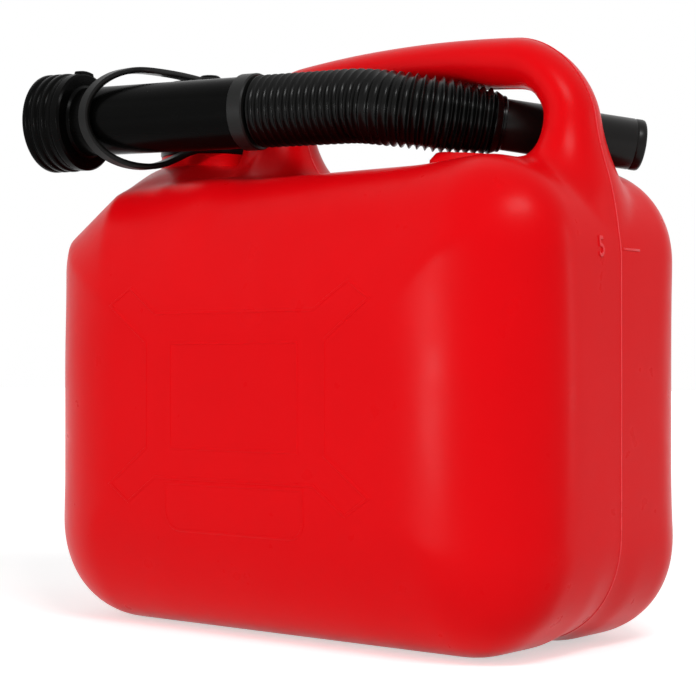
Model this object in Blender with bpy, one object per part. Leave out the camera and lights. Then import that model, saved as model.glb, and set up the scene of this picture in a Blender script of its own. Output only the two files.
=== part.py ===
"""Five litre plastic fuel can with its flexible pouring spout stowed through the handle.

Frame: +X along the wide side towards the handle's far leg, +Y to the back, +Z up.
The origin is the centre of the base, on the surface that the can stands on.
Lengths are in metres and angles in degrees.
"""
import math

import bmesh
import bpy
import numpy as np
from mathutils import Matrix, Vector

GAP = 0.0003

# Can body, blow moulded in one piece with its hollow handle
CAN_WIDTH = 0.265
CAN_DEPTH = 0.147
BODY_TOP = 0.1937
CAN_WALL = 0.002
FOOT_RADIUS = 0.046
SHOULDER_RADIUS = 0.041
SIDE_ROUND_X = 0.060
SIDE_ROUND_Y = 0.0447
FOOT_ROUND_Z = 0.068
FOOT_ROUND_Y = 0.037
SHOULDER_ROUND_Z = 0.076
SHOULDER_ROUND_Y = 0.040
CORNER_POWER = 2.15
SLOPE_POINT = (0.0218 - CAN_WIDTH / 2, BODY_TOP - 0.0100)
SLOPE_ANGLE = 33.0
SLOPE_ROUND = 0.0066
LOW_ROUNDING = (0.010, 0.070)
HIGH_ROUNDING = (BODY_TOP - 0.0837, BODY_TOP - 0.0237)
CHANNEL_WIDTH = 0.034
CHANNEL_DEPTH = 0.0022
CHANNEL_FADE = (0.020, 0.050)

# Neck, its thread, and the pedestal and mound below it
NECK_X = 0.0473 - CAN_WIDTH / 2
NECK_RADIUS = 0.0176
NECK_BORE_RADIUS = 0.0152
PEDESTAL_RADIUS = 0.0222
PEDESTAL_TOP = BODY_TOP + 0.0138
MOUND_X = NECK_X - 0.0023
MOUND_RADIUS = 0.0218
MOUND_TOP = BODY_TOP + 0.0093
MOUND_FILLET = 0.0258
MOUND_ROUND = 0.010
THREAD_PITCH = 0.004
THREAD_HEIGHT = 0.0015
THREAD_ROOT_WIDTH = 0.0020
THREAD_CREST_WIDTH = 0.0010
THREAD_RUN_OUT = 40.0
NECK_THREAD_TURNS = 3.0

# Handle, a bar bent down into two legs, of which the near one is the thicker
HANDLE_TOP = BODY_TOP + 0.0523
GRIP_HEIGHT = 0.0206
GRIP_DEPTH = 0.0266
FAR_LEG_POINT = (CAN_WIDTH / 2 - 0.0209, BODY_TOP + 0.0063)
FAR_LEG_TILT = 5.8
FAR_BEND_RADIUS = 0.0221
NEAR_LEG_X = NECK_X + 0.0377
NEAR_BEND_RADIUS = 0.022
NEAR_POST_X = NEAR_LEG_X + 0.0085
NEAR_POST_WIDTH = 0.0214
NEAR_POST_FILLET = 0.006
CROWN_CENTRE_X = (NEAR_LEG_X + FAR_LEG_POINT[0]) / 2 + 0.00095
CROWN_RADIUS = 0.56
HANDLE_FILLET = 0.0117
INNER_FILLET = 0.0185
INNER_FILLET_START = (NEAR_LEG_X - 0.0075, NEAR_LEG_X + 0.0125)
INNER_FILLET_END = (NEAR_LEG_X + 0.0475, NEAR_LEG_X + 0.0975)

# Hollow of the body's top below the handle, which rises to the far leg
SADDLE_DEPTH = 0.0022
SADDLE_START = (NEAR_LEG_X + 0.0025, NEAR_LEG_X + 0.0275)
SADDLE_END = (NEAR_LEG_X + 0.1075, NEAR_LEG_X + 0.1475)

# Moulded cradle that the hose lies in, inside the handle opening
REST_POINT = (CAN_WIDTH / 2 - 0.0655, -0.012)
REST_LENGTH = 0.028
REST_WIDTH = 0.012
REST_HEIGHT = 0.0065
REST_SLOPE = 1 / 2
REST_ANGLE = 35.0
REST_ROUND = 0.0015
REST_CLEARANCE = 0.0006

# Strap that ties the cap to the neck and goes round the stowed spout
STRAP_WIDTH = 0.0050
STRAP_THICKNESS = 0.0026
NECK_RING_HEIGHT = 0.0030
NECK_RING_RADIUS = 0.0225
STUD_RING_RADIUS = 0.0080
RING_SIDE_ANGLE = -35.0
LOOP_FRONT_X = NECK_X - 0.0074
LOOP_END_X = NECK_X + 0.0055
LOOP_DEPTH = 0.0222
LOOP_SLACK = 0.0018
LOOP_BELOW = 0.0048
STRAP_BOW = 0.0006
LOWER_STRAND_RISE = (0.15, 0.75)

# Seals, flat washers
SEAL_THICKNESS = 0.0020
SEAL_BORE_RADIUS = 0.0135

# Screw cap
CAP_RADIUS = 0.0223
CAP_BORE_RADIUS = 0.0196
CAP_HEIGHT = 0.0299
CAP_BOTTOM = PEDESTAL_TOP + 2 * GAP + NECK_RING_HEIGHT
CAP_TOP = CAP_BOTTOM + CAP_HEIGHT
CAP_ROOF = 0.0024
CAP_EDGE = 0.0015
GRIP_RIB_COUNT = 30
GRIP_RIB_HEIGHT = 0.0007
CAP_THREAD_TURNS = 2.0
STUD_RADIUS = 0.0034
STUD_HEAD_RADIUS = 0.0049
STUD_HEAD_HEIGHT = 0.0017
NECK_THREAD_START = CAP_BOTTOM + 0.0054
NECK_TOP = CAP_TOP - CAP_ROOF - SEAL_THICKNESS - 2 * GAP

# Route of the spout's centre line, from the socket's mouth to the nozzle's tip
SPOUT_ROUTE = ((0.00654 - CAN_WIDTH / 2, -0.06003, BODY_TOP + 0.02694),
               (CAN_WIDTH / 2 - 0.1041, -0.0315, BODY_TOP + 0.0243),
               (CAN_WIDTH / 2 - 0.0830, -0.0275, BODY_TOP + 0.0213),
               (CAN_WIDTH / 2 - 0.0151, 0.0405, BODY_TOP + 0.0080))
SPOUT_BEND_RADII = (0.085, 0.050)
ROUTE_STEP = 0.0006

# Lengths along that route
SOCKET_LENGTH = 0.0152
FLANGE_LENGTH = 0.0048
TUBE_LENGTH = CAN_WIDTH - 0.1827
COLLAR_LENGTH = 0.0073
HOSE_LENGTH = 0.1020
CUFF_LENGTH = 0.0046
SPIGOT_LENGTH = 0.0085

# Rigid base of the spout
SOCKET_RADIUS = 0.0218
SOCKET_BORE_RADIUS = 0.0196
SOCKET_FLOOR = 0.0025
SOCKET_RIDGES = 3
RIDGE_PITCH = 0.0045
RIDGE_HEIGHT = 0.0009
FLANGE_RADIUS = 0.0215
TUBE_RADIUS = 0.0150
TUBE_BORE_RADIUS = 0.0104
SPIGOT_RADIUS = 0.0115
COLLAR_RADIUS = 0.0161
LUG_WIDTH = 0.0100
LUG_HEIGHT = 0.0011
SOCKET_THREAD_TURNS = 1.5

# Ribbed hose
RIB_COUNT = 31
HOSE_RADIUS = 0.0152
HOSE_END_RADIUS = 0.0136
HOSE_WALL = 0.0006
RIB_HEIGHT = 0.0016
TAPERED_RIBS = 6
HOSE_SIDES = 8

# Nozzle
NOZZLE_RADIUS = 0.0104
NOZZLE_BORE_RADIUS = 0.0086
TIP_BAND_LENGTH = 0.0035
TIP_BAND_HEIGHT = 0.0003
CUFF_RADIUS = 0.0127
CUFF_STEP_RADIUS = 0.0114

# Fineness of the meshes
BODY_CELL = 0.0065
BODY_KEPT_SHARE = 0.34
TURNED_SIDES = 36
THREAD_STEPS = 24
THREAD_PHASE = math.radians(2.5)

RED_HDPE = ("red_hdpe", (0.745, 0.004, 0.009), 0.34)
BLACK_PP = ("black_polypropylene", (0.012, 0.012, 0.012), 0.33)
BLACK_LDPE = ("black_polyethylene", (0.018, 0.018, 0.017), 0.42)
DARK_LDPE = ("dark_grey_polyethylene", (0.045, 0.045, 0.043), 0.50)
SEAL_RUBBER = ("seal_rubber", (0.030, 0.028, 0.026), 0.70)


def clear_scene():
    """Remove every object, so that the script can run again in the same file."""
    for item in list(bpy.data.objects):
        bpy.data.objects.remove(item, do_unlink=True)


def plastic(name, colour, roughness):
    """The Principled material of that name, made once."""
    found = bpy.data.materials.get(name)
    if found:
        return found
    made = bpy.data.materials.new(name)
    made.use_nodes = True
    shader = made.node_tree.nodes["Principled BSDF"]
    shader.inputs["Base Color"].default_value = (*colour, 1.0)
    shader.inputs["Roughness"].default_value = roughness
    shader.inputs["Metallic"].default_value = 0.0
    return made


def add_object(name, mesh, finish=None):
    """Link a mesh into the scene under one name, with its material."""
    item = bpy.data.objects.new(name, mesh)
    bpy.context.scene.collection.objects.link(item)
    if finish:
        mesh.materials.append(plastic(*finish))
    mesh.shade_smooth()
    mesh.set_sharp_from_angle(angle=math.radians(35))
    return item


def as_guide(item):
    """Mark an object as a cutter or a joined-in form, which is no piece by itself."""
    item.hide_render = True
    item.display_type = "WIRE"
    return item


def combine(item, other, operation):
    """Boolean one object with another, which becomes a guide."""
    step = item.modifiers.new(f"{operation.lower()}_{other.name}", "BOOLEAN")
    step.operation = operation
    step.solver = "EXACT"
    step.object = as_guide(other)
    return item


def from_bmesh(name, shape):
    """A mesh made from a bmesh whose faces are turned outwards."""
    bmesh.ops.recalc_face_normals(shape, faces=shape.faces)
    mesh = bpy.data.meshes.new(name)
    shape.to_mesh(mesh)
    shape.free()
    return mesh


def turned(name, profile, sides=TURNED_SIDES):
    """A closed turned mesh about local Z, from the (radius, height) points of a closed outline."""
    shape = bmesh.new()
    points = [shape.verts.new((radius, 0.0, height)) for radius, height in profile]
    edges = [shape.edges.new((a, b)) for a, b in zip(points, points[1:] + points[:1])]
    bmesh.ops.spin(shape, geom=points + edges, cent=(0, 0, 0), axis=(0, 0, 1),
                   angle=math.tau, steps=sides, use_merge=True)
    bmesh.ops.remove_doubles(shape, verts=shape.verts, dist=1e-6)
    return from_bmesh(name, shape)


def rod(name, radius, low, high, sides=TURNED_SIDES):
    """A solid cylinder about local Z between two heights."""
    shape = bmesh.new()
    bmesh.ops.create_cone(shape, cap_ends=True, segments=sides, radius1=radius, radius2=radius,
                          depth=high - low, matrix=Matrix.Translation((0, 0, (low + high) / 2)))
    return from_bmesh(name, shape)


def thread(name, root, height, start, turns):
    """A helical ridge about local Z that stands out of a root radius, or into a bore if height is negative.

    Its ends run out to nothing, and its foot is sunk a little below the root so that it can be joined.
    """
    shape = bmesh.new()
    sink = math.copysign(0.0004, height)
    count = round(turns * THREAD_STEPS)
    rings = []
    for step in range(count + 1):
        angle = step / THREAD_STEPS * math.tau
        from_end = math.degrees(min(angle, turns * math.tau - angle))
        rise = height * min(1.0, 0.15 + from_end / THREAD_RUN_OUT)
        middle = start + THREAD_PITCH * angle / math.tau
        half_root = THREAD_ROOT_WIDTH / 2
        half_crest = THREAD_CREST_WIDTH / 2
        section = ((root - sink, -half_root), (root + rise, -half_crest),
                   (root + rise, half_crest), (root - sink, half_root))
        turn = angle + THREAD_PHASE
        rings.append([shape.verts.new((r * math.cos(turn), r * math.sin(turn), middle + z))
                      for r, z in section])
    bridge_rings(shape, rings)
    return from_bmesh(name, shape)


def bridge_rings(shape, rings):
    """Skin a row of rings of equal size and close both ends."""
    for ring, following in zip(rings, rings[1:]):
        size = len(ring)
        for place in range(size):
            beside = (place + 1) % size
            shape.faces.new((ring[place], ring[beside], following[beside], following[place]))
    shape.faces.new(rings[0])
    shape.faces.new(reversed(rings[-1]))


def both(a, b, radius_a, radius_b, power=CORNER_POWER):
    """Inside two fields at once, with a rounded edge that takes radius_a off a and radius_b off b."""
    u = a / radius_a + 1
    v = b / radius_b + 1
    corner = (np.maximum(u, 0) ** power + np.maximum(v, 0) ** power) ** (1 / power)
    return (np.minimum(np.maximum(u, v), 0) + corner - 1) * np.minimum(radius_a, radius_b)


def either(a, b, fillet):
    """Inside at least one of two fields, with a fillet where they meet."""
    return -both(-a, -b, fillet, fillet, power=2.0)


def ramp(value, start, end):
    """A smooth step from 0 at start to 1 at end."""
    share = np.clip((value - start) / (end - start), 0, 1)
    return share * share * (3 - 2 * share)


def body_field(x, y, z):
    """Signed field of the can's body, negative inside: a rounded outline swept in Y and rounded again."""
    across = np.clip(np.abs(y) / (CHANNEL_WIDTH / 2), 0, 1)
    underside = CHANNEL_DEPTH * ramp(np.abs(x), *CHANNEL_FADE) * (1 - across ** 2) ** 2 - z
    outline = both(np.abs(x) - CAN_WIDTH / 2, underside, FOOT_RADIUS, FOOT_RADIUS)
    saddle = SADDLE_DEPTH * ramp(x, *SADDLE_START) * (1 - ramp(x, *SADDLE_END))
    outline = both(outline, z + saddle - BODY_TOP, SHOULDER_RADIUS, SHOULDER_RADIUS)
    angle = math.radians(SLOPE_ANGLE)
    slope = (z - SLOPE_POINT[1]) * math.cos(angle) - (x - SLOPE_POINT[0]) * math.sin(angle)
    outline = both(outline, slope, SLOPE_ROUND, SLOPE_ROUND, power=2.0)
    low = 1 - ramp(z, *LOW_ROUNDING)
    high = ramp(z, *HIGH_ROUNDING)
    inset = SIDE_ROUND_X + (FOOT_ROUND_Z - SIDE_ROUND_X) * low + (SHOULDER_ROUND_Z - SIDE_ROUND_X) * high
    depth = SIDE_ROUND_Y + (FOOT_ROUND_Y - SIDE_ROUND_Y) * low + (SHOULDER_ROUND_Y - SIDE_ROUND_Y) * high
    return both(outline, np.abs(y) - CAN_DEPTH / 2, inset, depth)


def oval(across, y, reach):
    """Signed field of a bar of the handle's depth, from the distance across it and its half width."""
    return (np.hypot(across / reach, y / (GRIP_DEPTH / 2)) - 1) * reach


def handle_field(x, y, z):
    """Signed field of the handle: an oval bar, crowned and bent down into two legs, one of them doubled."""
    half_height = GRIP_HEIGHT / 2
    crown = z - (HANDLE_TOP - half_height - (x - CROWN_CENTRE_X) ** 2 / (2 * CROWN_RADIUS))
    tilt = math.radians(FAR_LEG_TILT)
    far_leg = (x - FAR_LEG_POINT[0]) * math.cos(tilt) + (z - FAR_LEG_POINT[1]) * math.sin(tilt)
    centre = both(crown, far_leg, FAR_BEND_RADIUS, FAR_BEND_RADIUS, power=2.0)
    centre = both(centre, NEAR_LEG_X - x, NEAR_BEND_RADIUS, NEAR_BEND_RADIUS, power=2.0)
    bar = oval(centre, y, half_height)
    post = np.maximum(oval(x - NEAR_POST_X, y, NEAR_POST_WIDTH / 2), crown)
    return np.maximum(either(bar, post, NEAR_POST_FILLET), BODY_TOP - SHOULDER_RADIUS - z)


def can_field(points):
    """Signed field of the whole moulding below its neck, for an array of points."""
    x, y, z = points[..., 0], points[..., 1], points[..., 2]
    below = BODY_TOP - SHOULDER_RADIUS
    inner = ramp(x, *INNER_FILLET_START) * (1 - ramp(x, *INNER_FILLET_END))
    fillet = HANDLE_FILLET + (INNER_FILLET - HANDLE_FILLET) * inner
    fillet = fillet * (0.05 + 0.95 * ramp(z, below - 0.015, BODY_TOP - 0.005))
    moulding = either(body_field(x, y, z), handle_field(x, y, z), fillet)
    post = np.maximum(np.hypot(x - MOUND_X, y) - MOUND_RADIUS, BODY_TOP - SHOULDER_RADIUS - z)
    mound = both(either(moulding, post, MOUND_FILLET), z - MOUND_TOP, MOUND_ROUND, MOUND_ROUND, power=2.0)
    return np.minimum(moulding, mound)


def shifted(axis, start, count):
    """Slices that pick count layers along one axis and everything along the others."""
    picked = [slice(None)] * 3
    picked[axis] = slice(start, start + count)
    return tuple(picked)


def net_of(field, low, high, cell):
    """Points and quads of a net over a field's zero level, with one point in each cell it crosses."""
    counts = [math.ceil((top - bottom) / cell) for bottom, top in zip(low, high)]
    ticks = [np.linspace(bottom, top, count + 1) for bottom, top, count in zip(low, high, counts)]
    grid = np.stack(np.meshgrid(*ticks, indexing="ij"), axis=-1)
    value = field(grid)
    inside = value < 0
    total = np.zeros(counts + [3])
    hits = np.zeros(counts)
    crossings = []
    for axis in range(3):
        near, far = shifted(axis, 0, counts[axis]), shifted(axis, 1, counts[axis])
        crossed = inside[near] != inside[far]
        share = np.where(crossed, value[near] / np.where(crossed, value[near] - value[far], 1), 0)
        point = np.where(crossed[..., None], grid[near] + share[..., None] * (grid[far] - grid[near]), 0)
        side_a, side_b = (axis + 1) % 3, (axis + 2) % 3
        for step_a in (0, 1):
            for step_b in (0, 1):
                picked = list(shifted(side_a, step_a, counts[side_a]))
                picked[side_b] = slice(step_b, step_b + counts[side_b])
                total += point[tuple(picked)]
                hits += crossed[tuple(picked)]
        crossings.append((side_a, side_b, crossed, inside[near]))
    used = hits > 0
    number = np.full(counts, -1)
    number[used] = np.arange(np.count_nonzero(used))
    quads = [quads_across(number, *crossing) for crossing in crossings]
    return total[used] / hits[used][:, None], np.concatenate(quads)


def quads_across(number, side_a, side_b, crossed, inside_near):
    """The quads round each crossed grid edge of one direction, facing out of the solid."""
    places = np.argwhere(crossed)
    corners = []
    for step_a, step_b in ((-1, -1), (0, -1), (0, 0), (-1, 0)):
        cell = places.copy()
        cell[:, side_a] += step_a
        cell[:, side_b] += step_b
        corners.append(number[tuple(cell.T)])
    quads = np.stack(corners, axis=1)
    facing_back = ~inside_near[tuple(places.T)]
    quads[facing_back] = quads[facing_back][:, ::-1]
    return quads


def settled(field, points, rounds=3, reach=0.00005):
    """Points moved along a field's slope onto its zero level, in steps of limited length."""
    for _ in range(rounds):
        slope = np.stack([(field(points + step) - field(points - step)) / (2 * reach)
                          for step in reach * np.eye(3)], axis=-1)
        steepness = np.maximum((slope ** 2).sum(axis=-1), 0.05)
        step = np.clip(field(points) / steepness, -BODY_CELL / 2, BODY_CELL / 2)
        points = points - step[:, None] * slope
    return points


def evened(field, points, quads, rounds=4):
    """Points spread evenly over the zero level, each drawn to the middle of the quads round it."""
    for _ in range(rounds):
        middles = points[quads].mean(axis=1)
        total = np.zeros_like(points)
        uses = np.zeros(len(points))
        for corner in range(4):
            np.add.at(total, quads[:, corner], middles)
            np.add.at(uses, quads[:, corner], 1)
        points = settled(field, total / uses[:, None], rounds=2)
    return points


def can_mesh():
    """The outer skin of the moulding as a closed mesh."""
    margin = 2 * BODY_CELL
    low = (-CAN_WIDTH / 2 - margin, -CAN_DEPTH / 2 - margin, -margin)
    high = (CAN_WIDTH / 2 + margin, CAN_DEPTH / 2 + margin, HANDLE_TOP + margin)
    points, quads = net_of(can_field, low, high, BODY_CELL)
    points = evened(can_field, settled(can_field, points), quads)
    mesh = bpy.data.meshes.new("can_body")
    mesh.from_pydata(points.tolist(), [], quads.tolist())
    return mesh


def build_can(route):
    """The moulded can: a hollow shell with its handle, threaded neck and the hose's cradle."""
    can = add_object("can_body", can_mesh(), RED_HDPE)
    fewer = can.modifiers.new("fewer_faces", "DECIMATE")
    fewer.ratio = BODY_KEPT_SHARE
    fewer.use_symmetry = True
    fewer.symmetry_axis = "Y"
    shell = can.modifiers.new("wall", "SOLIDIFY")
    shell.thickness = CAN_WALL
    shell.offset = -1
    shell.use_quality_normals = True
    combine(can, rest_form(route), "UNION")
    combine(can, neck_form(), "UNION")
    combine(can, ridge_on_neck(), "UNION")
    combine(can, bore_form(), "DIFFERENCE")
    return can


def neck_form():
    """The turned pedestal and neck, solid until the bore is cut."""
    foot = MOUND_TOP - CAN_WALL / 2
    profile = ((0, foot), (PEDESTAL_RADIUS, foot), (PEDESTAL_RADIUS, PEDESTAL_TOP),
               (NECK_RADIUS, PEDESTAL_TOP), (NECK_RADIUS, NECK_TOP), (0, NECK_TOP))
    item = add_object("neck_form", turned("neck_form", profile))
    item.location.x = NECK_X
    return item


def ridge_on_neck():
    """The neck's outside thread."""
    mesh = thread("neck_thread_form", NECK_RADIUS, THREAD_HEIGHT, NECK_THREAD_START, NECK_THREAD_TURNS)
    item = add_object("neck_thread_form", mesh)
    item.location.x = NECK_X
    return item


def bore_form():
    """The cutter of the neck's bore, which opens into the hollow of the can."""
    mesh = rod("neck_bore_form", NECK_BORE_RADIUS, BODY_TOP - SHOULDER_RADIUS, NECK_TOP + CAN_WALL)
    item = add_object("neck_bore_form", mesh)
    item.location.x = NECK_X
    return item


def rest_form(route):
    """The moulded block below the hose, inside the handle opening, hollowed to the hose's round."""
    foot = -SADDLE_DEPTH - CAN_WALL / 2
    drawn_in = REST_HEIGHT * REST_SLOPE
    shape = bmesh.new()
    bmesh.ops.create_cube(shape, size=1.0)
    bmesh.ops.scale(shape, vec=(REST_LENGTH, REST_WIDTH, REST_HEIGHT - foot), verts=shape.verts)
    bmesh.ops.translate(shape, vec=(0, 0, (REST_HEIGHT + foot) / 2), verts=shape.verts)
    for corner in shape.verts:
        if corner.co.z > 0:
            corner.co.xy = corner.co.xy - Vector((math.copysign(drawn_in, corner.co.x),
                                                  math.copysign(drawn_in, corner.co.y)))
    upper = [edge for edge in shape.edges if max(corner.co.z for corner in edge.verts) > 0]
    bmesh.ops.bevel(shape, geom=upper, offset=REST_ROUND, segments=2, profile=0.5, affect="EDGES")
    item = add_object("spout_rest_form", from_bmesh("spout_rest_form", shape))
    item.location = (*REST_POINT, BODY_TOP)
    item.rotation_euler.z = math.radians(REST_ANGLE)
    lengths = np.linspace(SOCKET_LENGTH + TUBE_LENGTH + HOSE_LENGTH / 2, route.lengths[-1], 24)
    hollow = tube_mesh("rest_hollow_form", [route.point(length) for length in lengths],
                       [HOSE_RADIUS + REST_CLEARANCE] * len(lengths), 4)
    return combine(item, add_object("rest_hollow_form", hollow), "DIFFERENCE")


def build_cap():
    """The ribbed screw cap with its inside thread and the stud that the strap clips over."""
    ring_top = CAP_TOP + GAP + STRAP_THICKNESS
    stud_top = ring_top + GAP + STUD_HEAD_HEIGHT
    ceiling = CAP_TOP - CAP_ROOF
    profile = ((0, ceiling), (CAP_BORE_RADIUS, ceiling), (CAP_BORE_RADIUS, CAP_BOTTOM),
               (CAP_RADIUS, CAP_BOTTOM), (CAP_RADIUS, CAP_TOP - CAP_EDGE), (CAP_RADIUS - CAP_EDGE, CAP_TOP),
               (STUD_RADIUS, CAP_TOP), (STUD_RADIUS, ring_top + GAP), (STUD_HEAD_RADIUS, ring_top + GAP),
               (STUD_HEAD_RADIUS - STUD_HEAD_HEIGHT / 2, stud_top), (0, stud_top))
    mesh = turned("screw_cap", profile, sides=2 * GRIP_RIB_COUNT)
    step = math.tau / (2 * GRIP_RIB_COUNT)
    for point in mesh.vertices:
        radius = math.hypot(point.co.x, point.co.y)
        place = round(math.atan2(point.co.y, point.co.x) / step)
        if radius > CAP_RADIUS - CAP_EDGE / 2 and place % 2:
            point.co.xy = point.co.xy * (1 - GRIP_RIB_HEIGHT / radius)
    cap = add_object("screw_cap", mesh, BLACK_PP)
    ridge = thread("cap_thread_form", CAP_BORE_RADIUS, -THREAD_HEIGHT, NECK_THREAD_START - THREAD_PITCH / 2,
                   CAP_THREAD_TURNS)
    combine(cap, add_object("cap_thread_form", ridge), "UNION")
    carrier = bpy.data.objects.new("cap_axis", None)
    bpy.context.scene.collection.objects.link(carrier)
    carrier.location.x = NECK_X
    cap.parent = carrier
    bpy.data.objects["cap_thread_form"].parent = carrier
    return cap


def washer(name, low, outer):
    """A flat sealing ring about local Z, standing on a height."""
    profile = ((SEAL_BORE_RADIUS, low), (outer, low), (outer, low + SEAL_THICKNESS),
               (SEAL_BORE_RADIUS, low + SEAL_THICKNESS))
    return add_object(name, turned(name, profile), SEAL_RUBBER)


def build_cap_seal():
    """The washer between the neck's rim and the roof of the cap."""
    seal = washer("cap_seal", NECK_TOP + GAP, CAP_BORE_RADIUS - GAP)
    seal.location.x = NECK_X
    return seal


def rounded_route(corners, radii, step):
    """Points along a line of straight runs whose corners are rounded with arcs of the given radii."""
    corners = [Vector(corner) for corner in corners]
    points = [corners[0]]
    for place, radius in enumerate(radii, start=1):
        before = (corners[place] - corners[place - 1]).normalized()
        after = (corners[place + 1] - corners[place]).normalized()
        angle = before.angle(after)
        room = min((corners[place] - points[-1]).length, (corners[place + 1] - corners[place]).length)
        radius = min(radius, 0.9 * room / math.tan(angle / 2))
        back = radius * math.tan(angle / 2)
        inward = (after - before * before.dot(after)).normalized()
        start = corners[place] - before * back
        count = max(2, math.ceil(radius * angle / step))
        points += [start + before * radius * math.sin(turn) + inward * radius * (1 - math.cos(turn))
                   for turn in (angle * share / count for share in range(count + 1))]
    points.append(corners[-1])
    return points


class Route:
    """A line through space that can be asked for a point and a direction at any length along it."""

    def __init__(self, points):
        self.points = points
        self.lengths = [0.0]
        for first, second in zip(points, points[1:]):
            self.lengths.append(self.lengths[-1] + (second - first).length)

    def run_at(self, length):
        """The number of the straight run that holds a length."""
        run = 0
        while run < len(self.points) - 2 and self.lengths[run + 1] < length:
            run += 1
        return run

    def direction(self, length):
        """The unit direction of travel at a length."""
        run = self.run_at(length)
        return (self.points[run + 1] - self.points[run]).normalized()

    def point(self, length):
        """The point at a length, also a little past either end."""
        run = self.run_at(length)
        return self.points[run] + self.direction(length) * (length - self.lengths[run])


def lay_along(item, route, length):
    """Stand a turned object on the route, its local Z along the direction of travel."""
    item.location = route.point(length)
    item.rotation_mode = "QUATERNION"
    item.rotation_quaternion = route.direction(length).to_track_quat("Z", "Y")
    return item


def build_spout_base(route):
    """The rigid base: a threaded socket with ridges outside, a flange, the tube and its spigot."""
    floor = SOCKET_LENGTH + FLANGE_LENGTH - SOCKET_FLOOR
    front = SOCKET_LENGTH + FLANGE_LENGTH
    tube_end = front + TUBE_LENGTH
    spigot_end = tube_end + GAP + COLLAR_LENGTH + GAP + SPIGOT_LENGTH
    valley = SOCKET_RADIUS - RIDGE_HEIGHT
    outside = [(SOCKET_BORE_RADIUS, 0.0), (valley, 0.0)]
    for ridge in range(SOCKET_RIDGES):
        start = ridge * RIDGE_PITCH
        outside += [(SOCKET_RADIUS, start + 0.15 * RIDGE_PITCH),
                    (SOCKET_RADIUS, start + 0.65 * RIDGE_PITCH),
                    (valley, start + 0.80 * RIDGE_PITCH), (valley, start + RIDGE_PITCH)]
    outside += [(valley, SOCKET_LENGTH), (FLANGE_RADIUS, SOCKET_LENGTH), (FLANGE_RADIUS, front),
                (TUBE_RADIUS, front), (TUBE_RADIUS, tube_end), (SPIGOT_RADIUS, tube_end),
                (SPIGOT_RADIUS, spigot_end), (TUBE_BORE_RADIUS, spigot_end), (TUBE_BORE_RADIUS, floor),
                (SOCKET_BORE_RADIUS, floor)]
    base = lay_along(add_object("spout_base", turned("spout_base", outside), BLACK_PP), route, 0.0)
    ridge = thread("socket_thread_form", SOCKET_BORE_RADIUS, -THREAD_HEIGHT, THREAD_PITCH,
                   SOCKET_THREAD_TURNS)
    combine(base, lay_along(add_object("socket_thread_form", ridge), route, 0.0), "UNION")
    combine(base, lug_form(route), "UNION")
    return base


def lug_form(route):
    """The small lug on top of the flange's rim."""
    foot = (SOCKET_BORE_RADIUS + FLANGE_RADIUS) / 2
    top = FLANGE_RADIUS + LUG_HEIGHT
    shape = bmesh.new()
    bmesh.ops.create_cube(shape, size=1.0)
    bmesh.ops.scale(shape, vec=(LUG_WIDTH, top - foot, FLANGE_LENGTH * 0.8), verts=shape.verts)
    bmesh.ops.translate(shape, vec=(0, (foot + top) / 2, SOCKET_LENGTH + FLANGE_LENGTH / 2),
                        verts=shape.verts)
    return lay_along(add_object("lug_form", from_bmesh("lug_form", shape)), route, 0.0)


def build_spout_seal(route):
    """The washer on the floor of the spout's socket."""
    floor = SOCKET_LENGTH + FLANGE_LENGTH - SOCKET_FLOOR
    seal = washer("spout_seal", floor - GAP - SEAL_THICKNESS, SOCKET_BORE_RADIUS - GAP)
    return lay_along(seal, route, 0.0)


def build_collar(route, start):
    """The sleeve between the rigid tube and the hose, over the tube's spigot."""
    profile = ((SPIGOT_RADIUS + GAP, 0), (COLLAR_RADIUS, 0), (COLLAR_RADIUS, COLLAR_LENGTH),
               (SPIGOT_RADIUS + GAP, COLLAR_LENGTH))
    return lay_along(add_object("hose_collar", turned("hose_collar", profile), DARK_LDPE), route, start)


def tube_mesh(name, points, radii, resolution):
    """The mesh of a round tube with filled ends along points, each with its own radius."""
    path = bpy.data.curves.new(name, "CURVE")
    path.dimensions = "3D"
    path.bevel_depth = 1.0
    path.bevel_resolution = resolution
    path.use_fill_caps = True
    line = path.splines.new("POLY")
    line.points.add(len(points) - 1)
    for place, (point, radius) in enumerate(zip(points, radii)):
        line.points[place].co = (*point, 1.0)
        line.points[place].radius = radius
    holder = bpy.data.objects.new(name, path)
    bpy.context.scene.collection.objects.link(holder)
    bpy.context.view_layer.update()
    mesh = bpy.data.meshes.new_from_object(holder.evaluated_get(bpy.context.evaluated_depsgraph_get()))
    bpy.data.objects.remove(holder, do_unlink=True)
    shape = bmesh.new()
    shape.from_mesh(mesh)
    bpy.data.meshes.remove(mesh)
    bmesh.ops.remove_doubles(shape, verts=shape.verts, dist=1e-7)
    return from_bmesh(name, shape)


def crest_radius(share):
    """The hose's radius over a rib, which tapers over the last ribs; share runs from 0 to 1 along it."""
    taper = max(0.0, 1 - (1 - share) * RIB_COUNT / TAPERED_RIBS)
    return HOSE_RADIUS + (HOSE_END_RADIUS - HOSE_RADIUS) * taper


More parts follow.
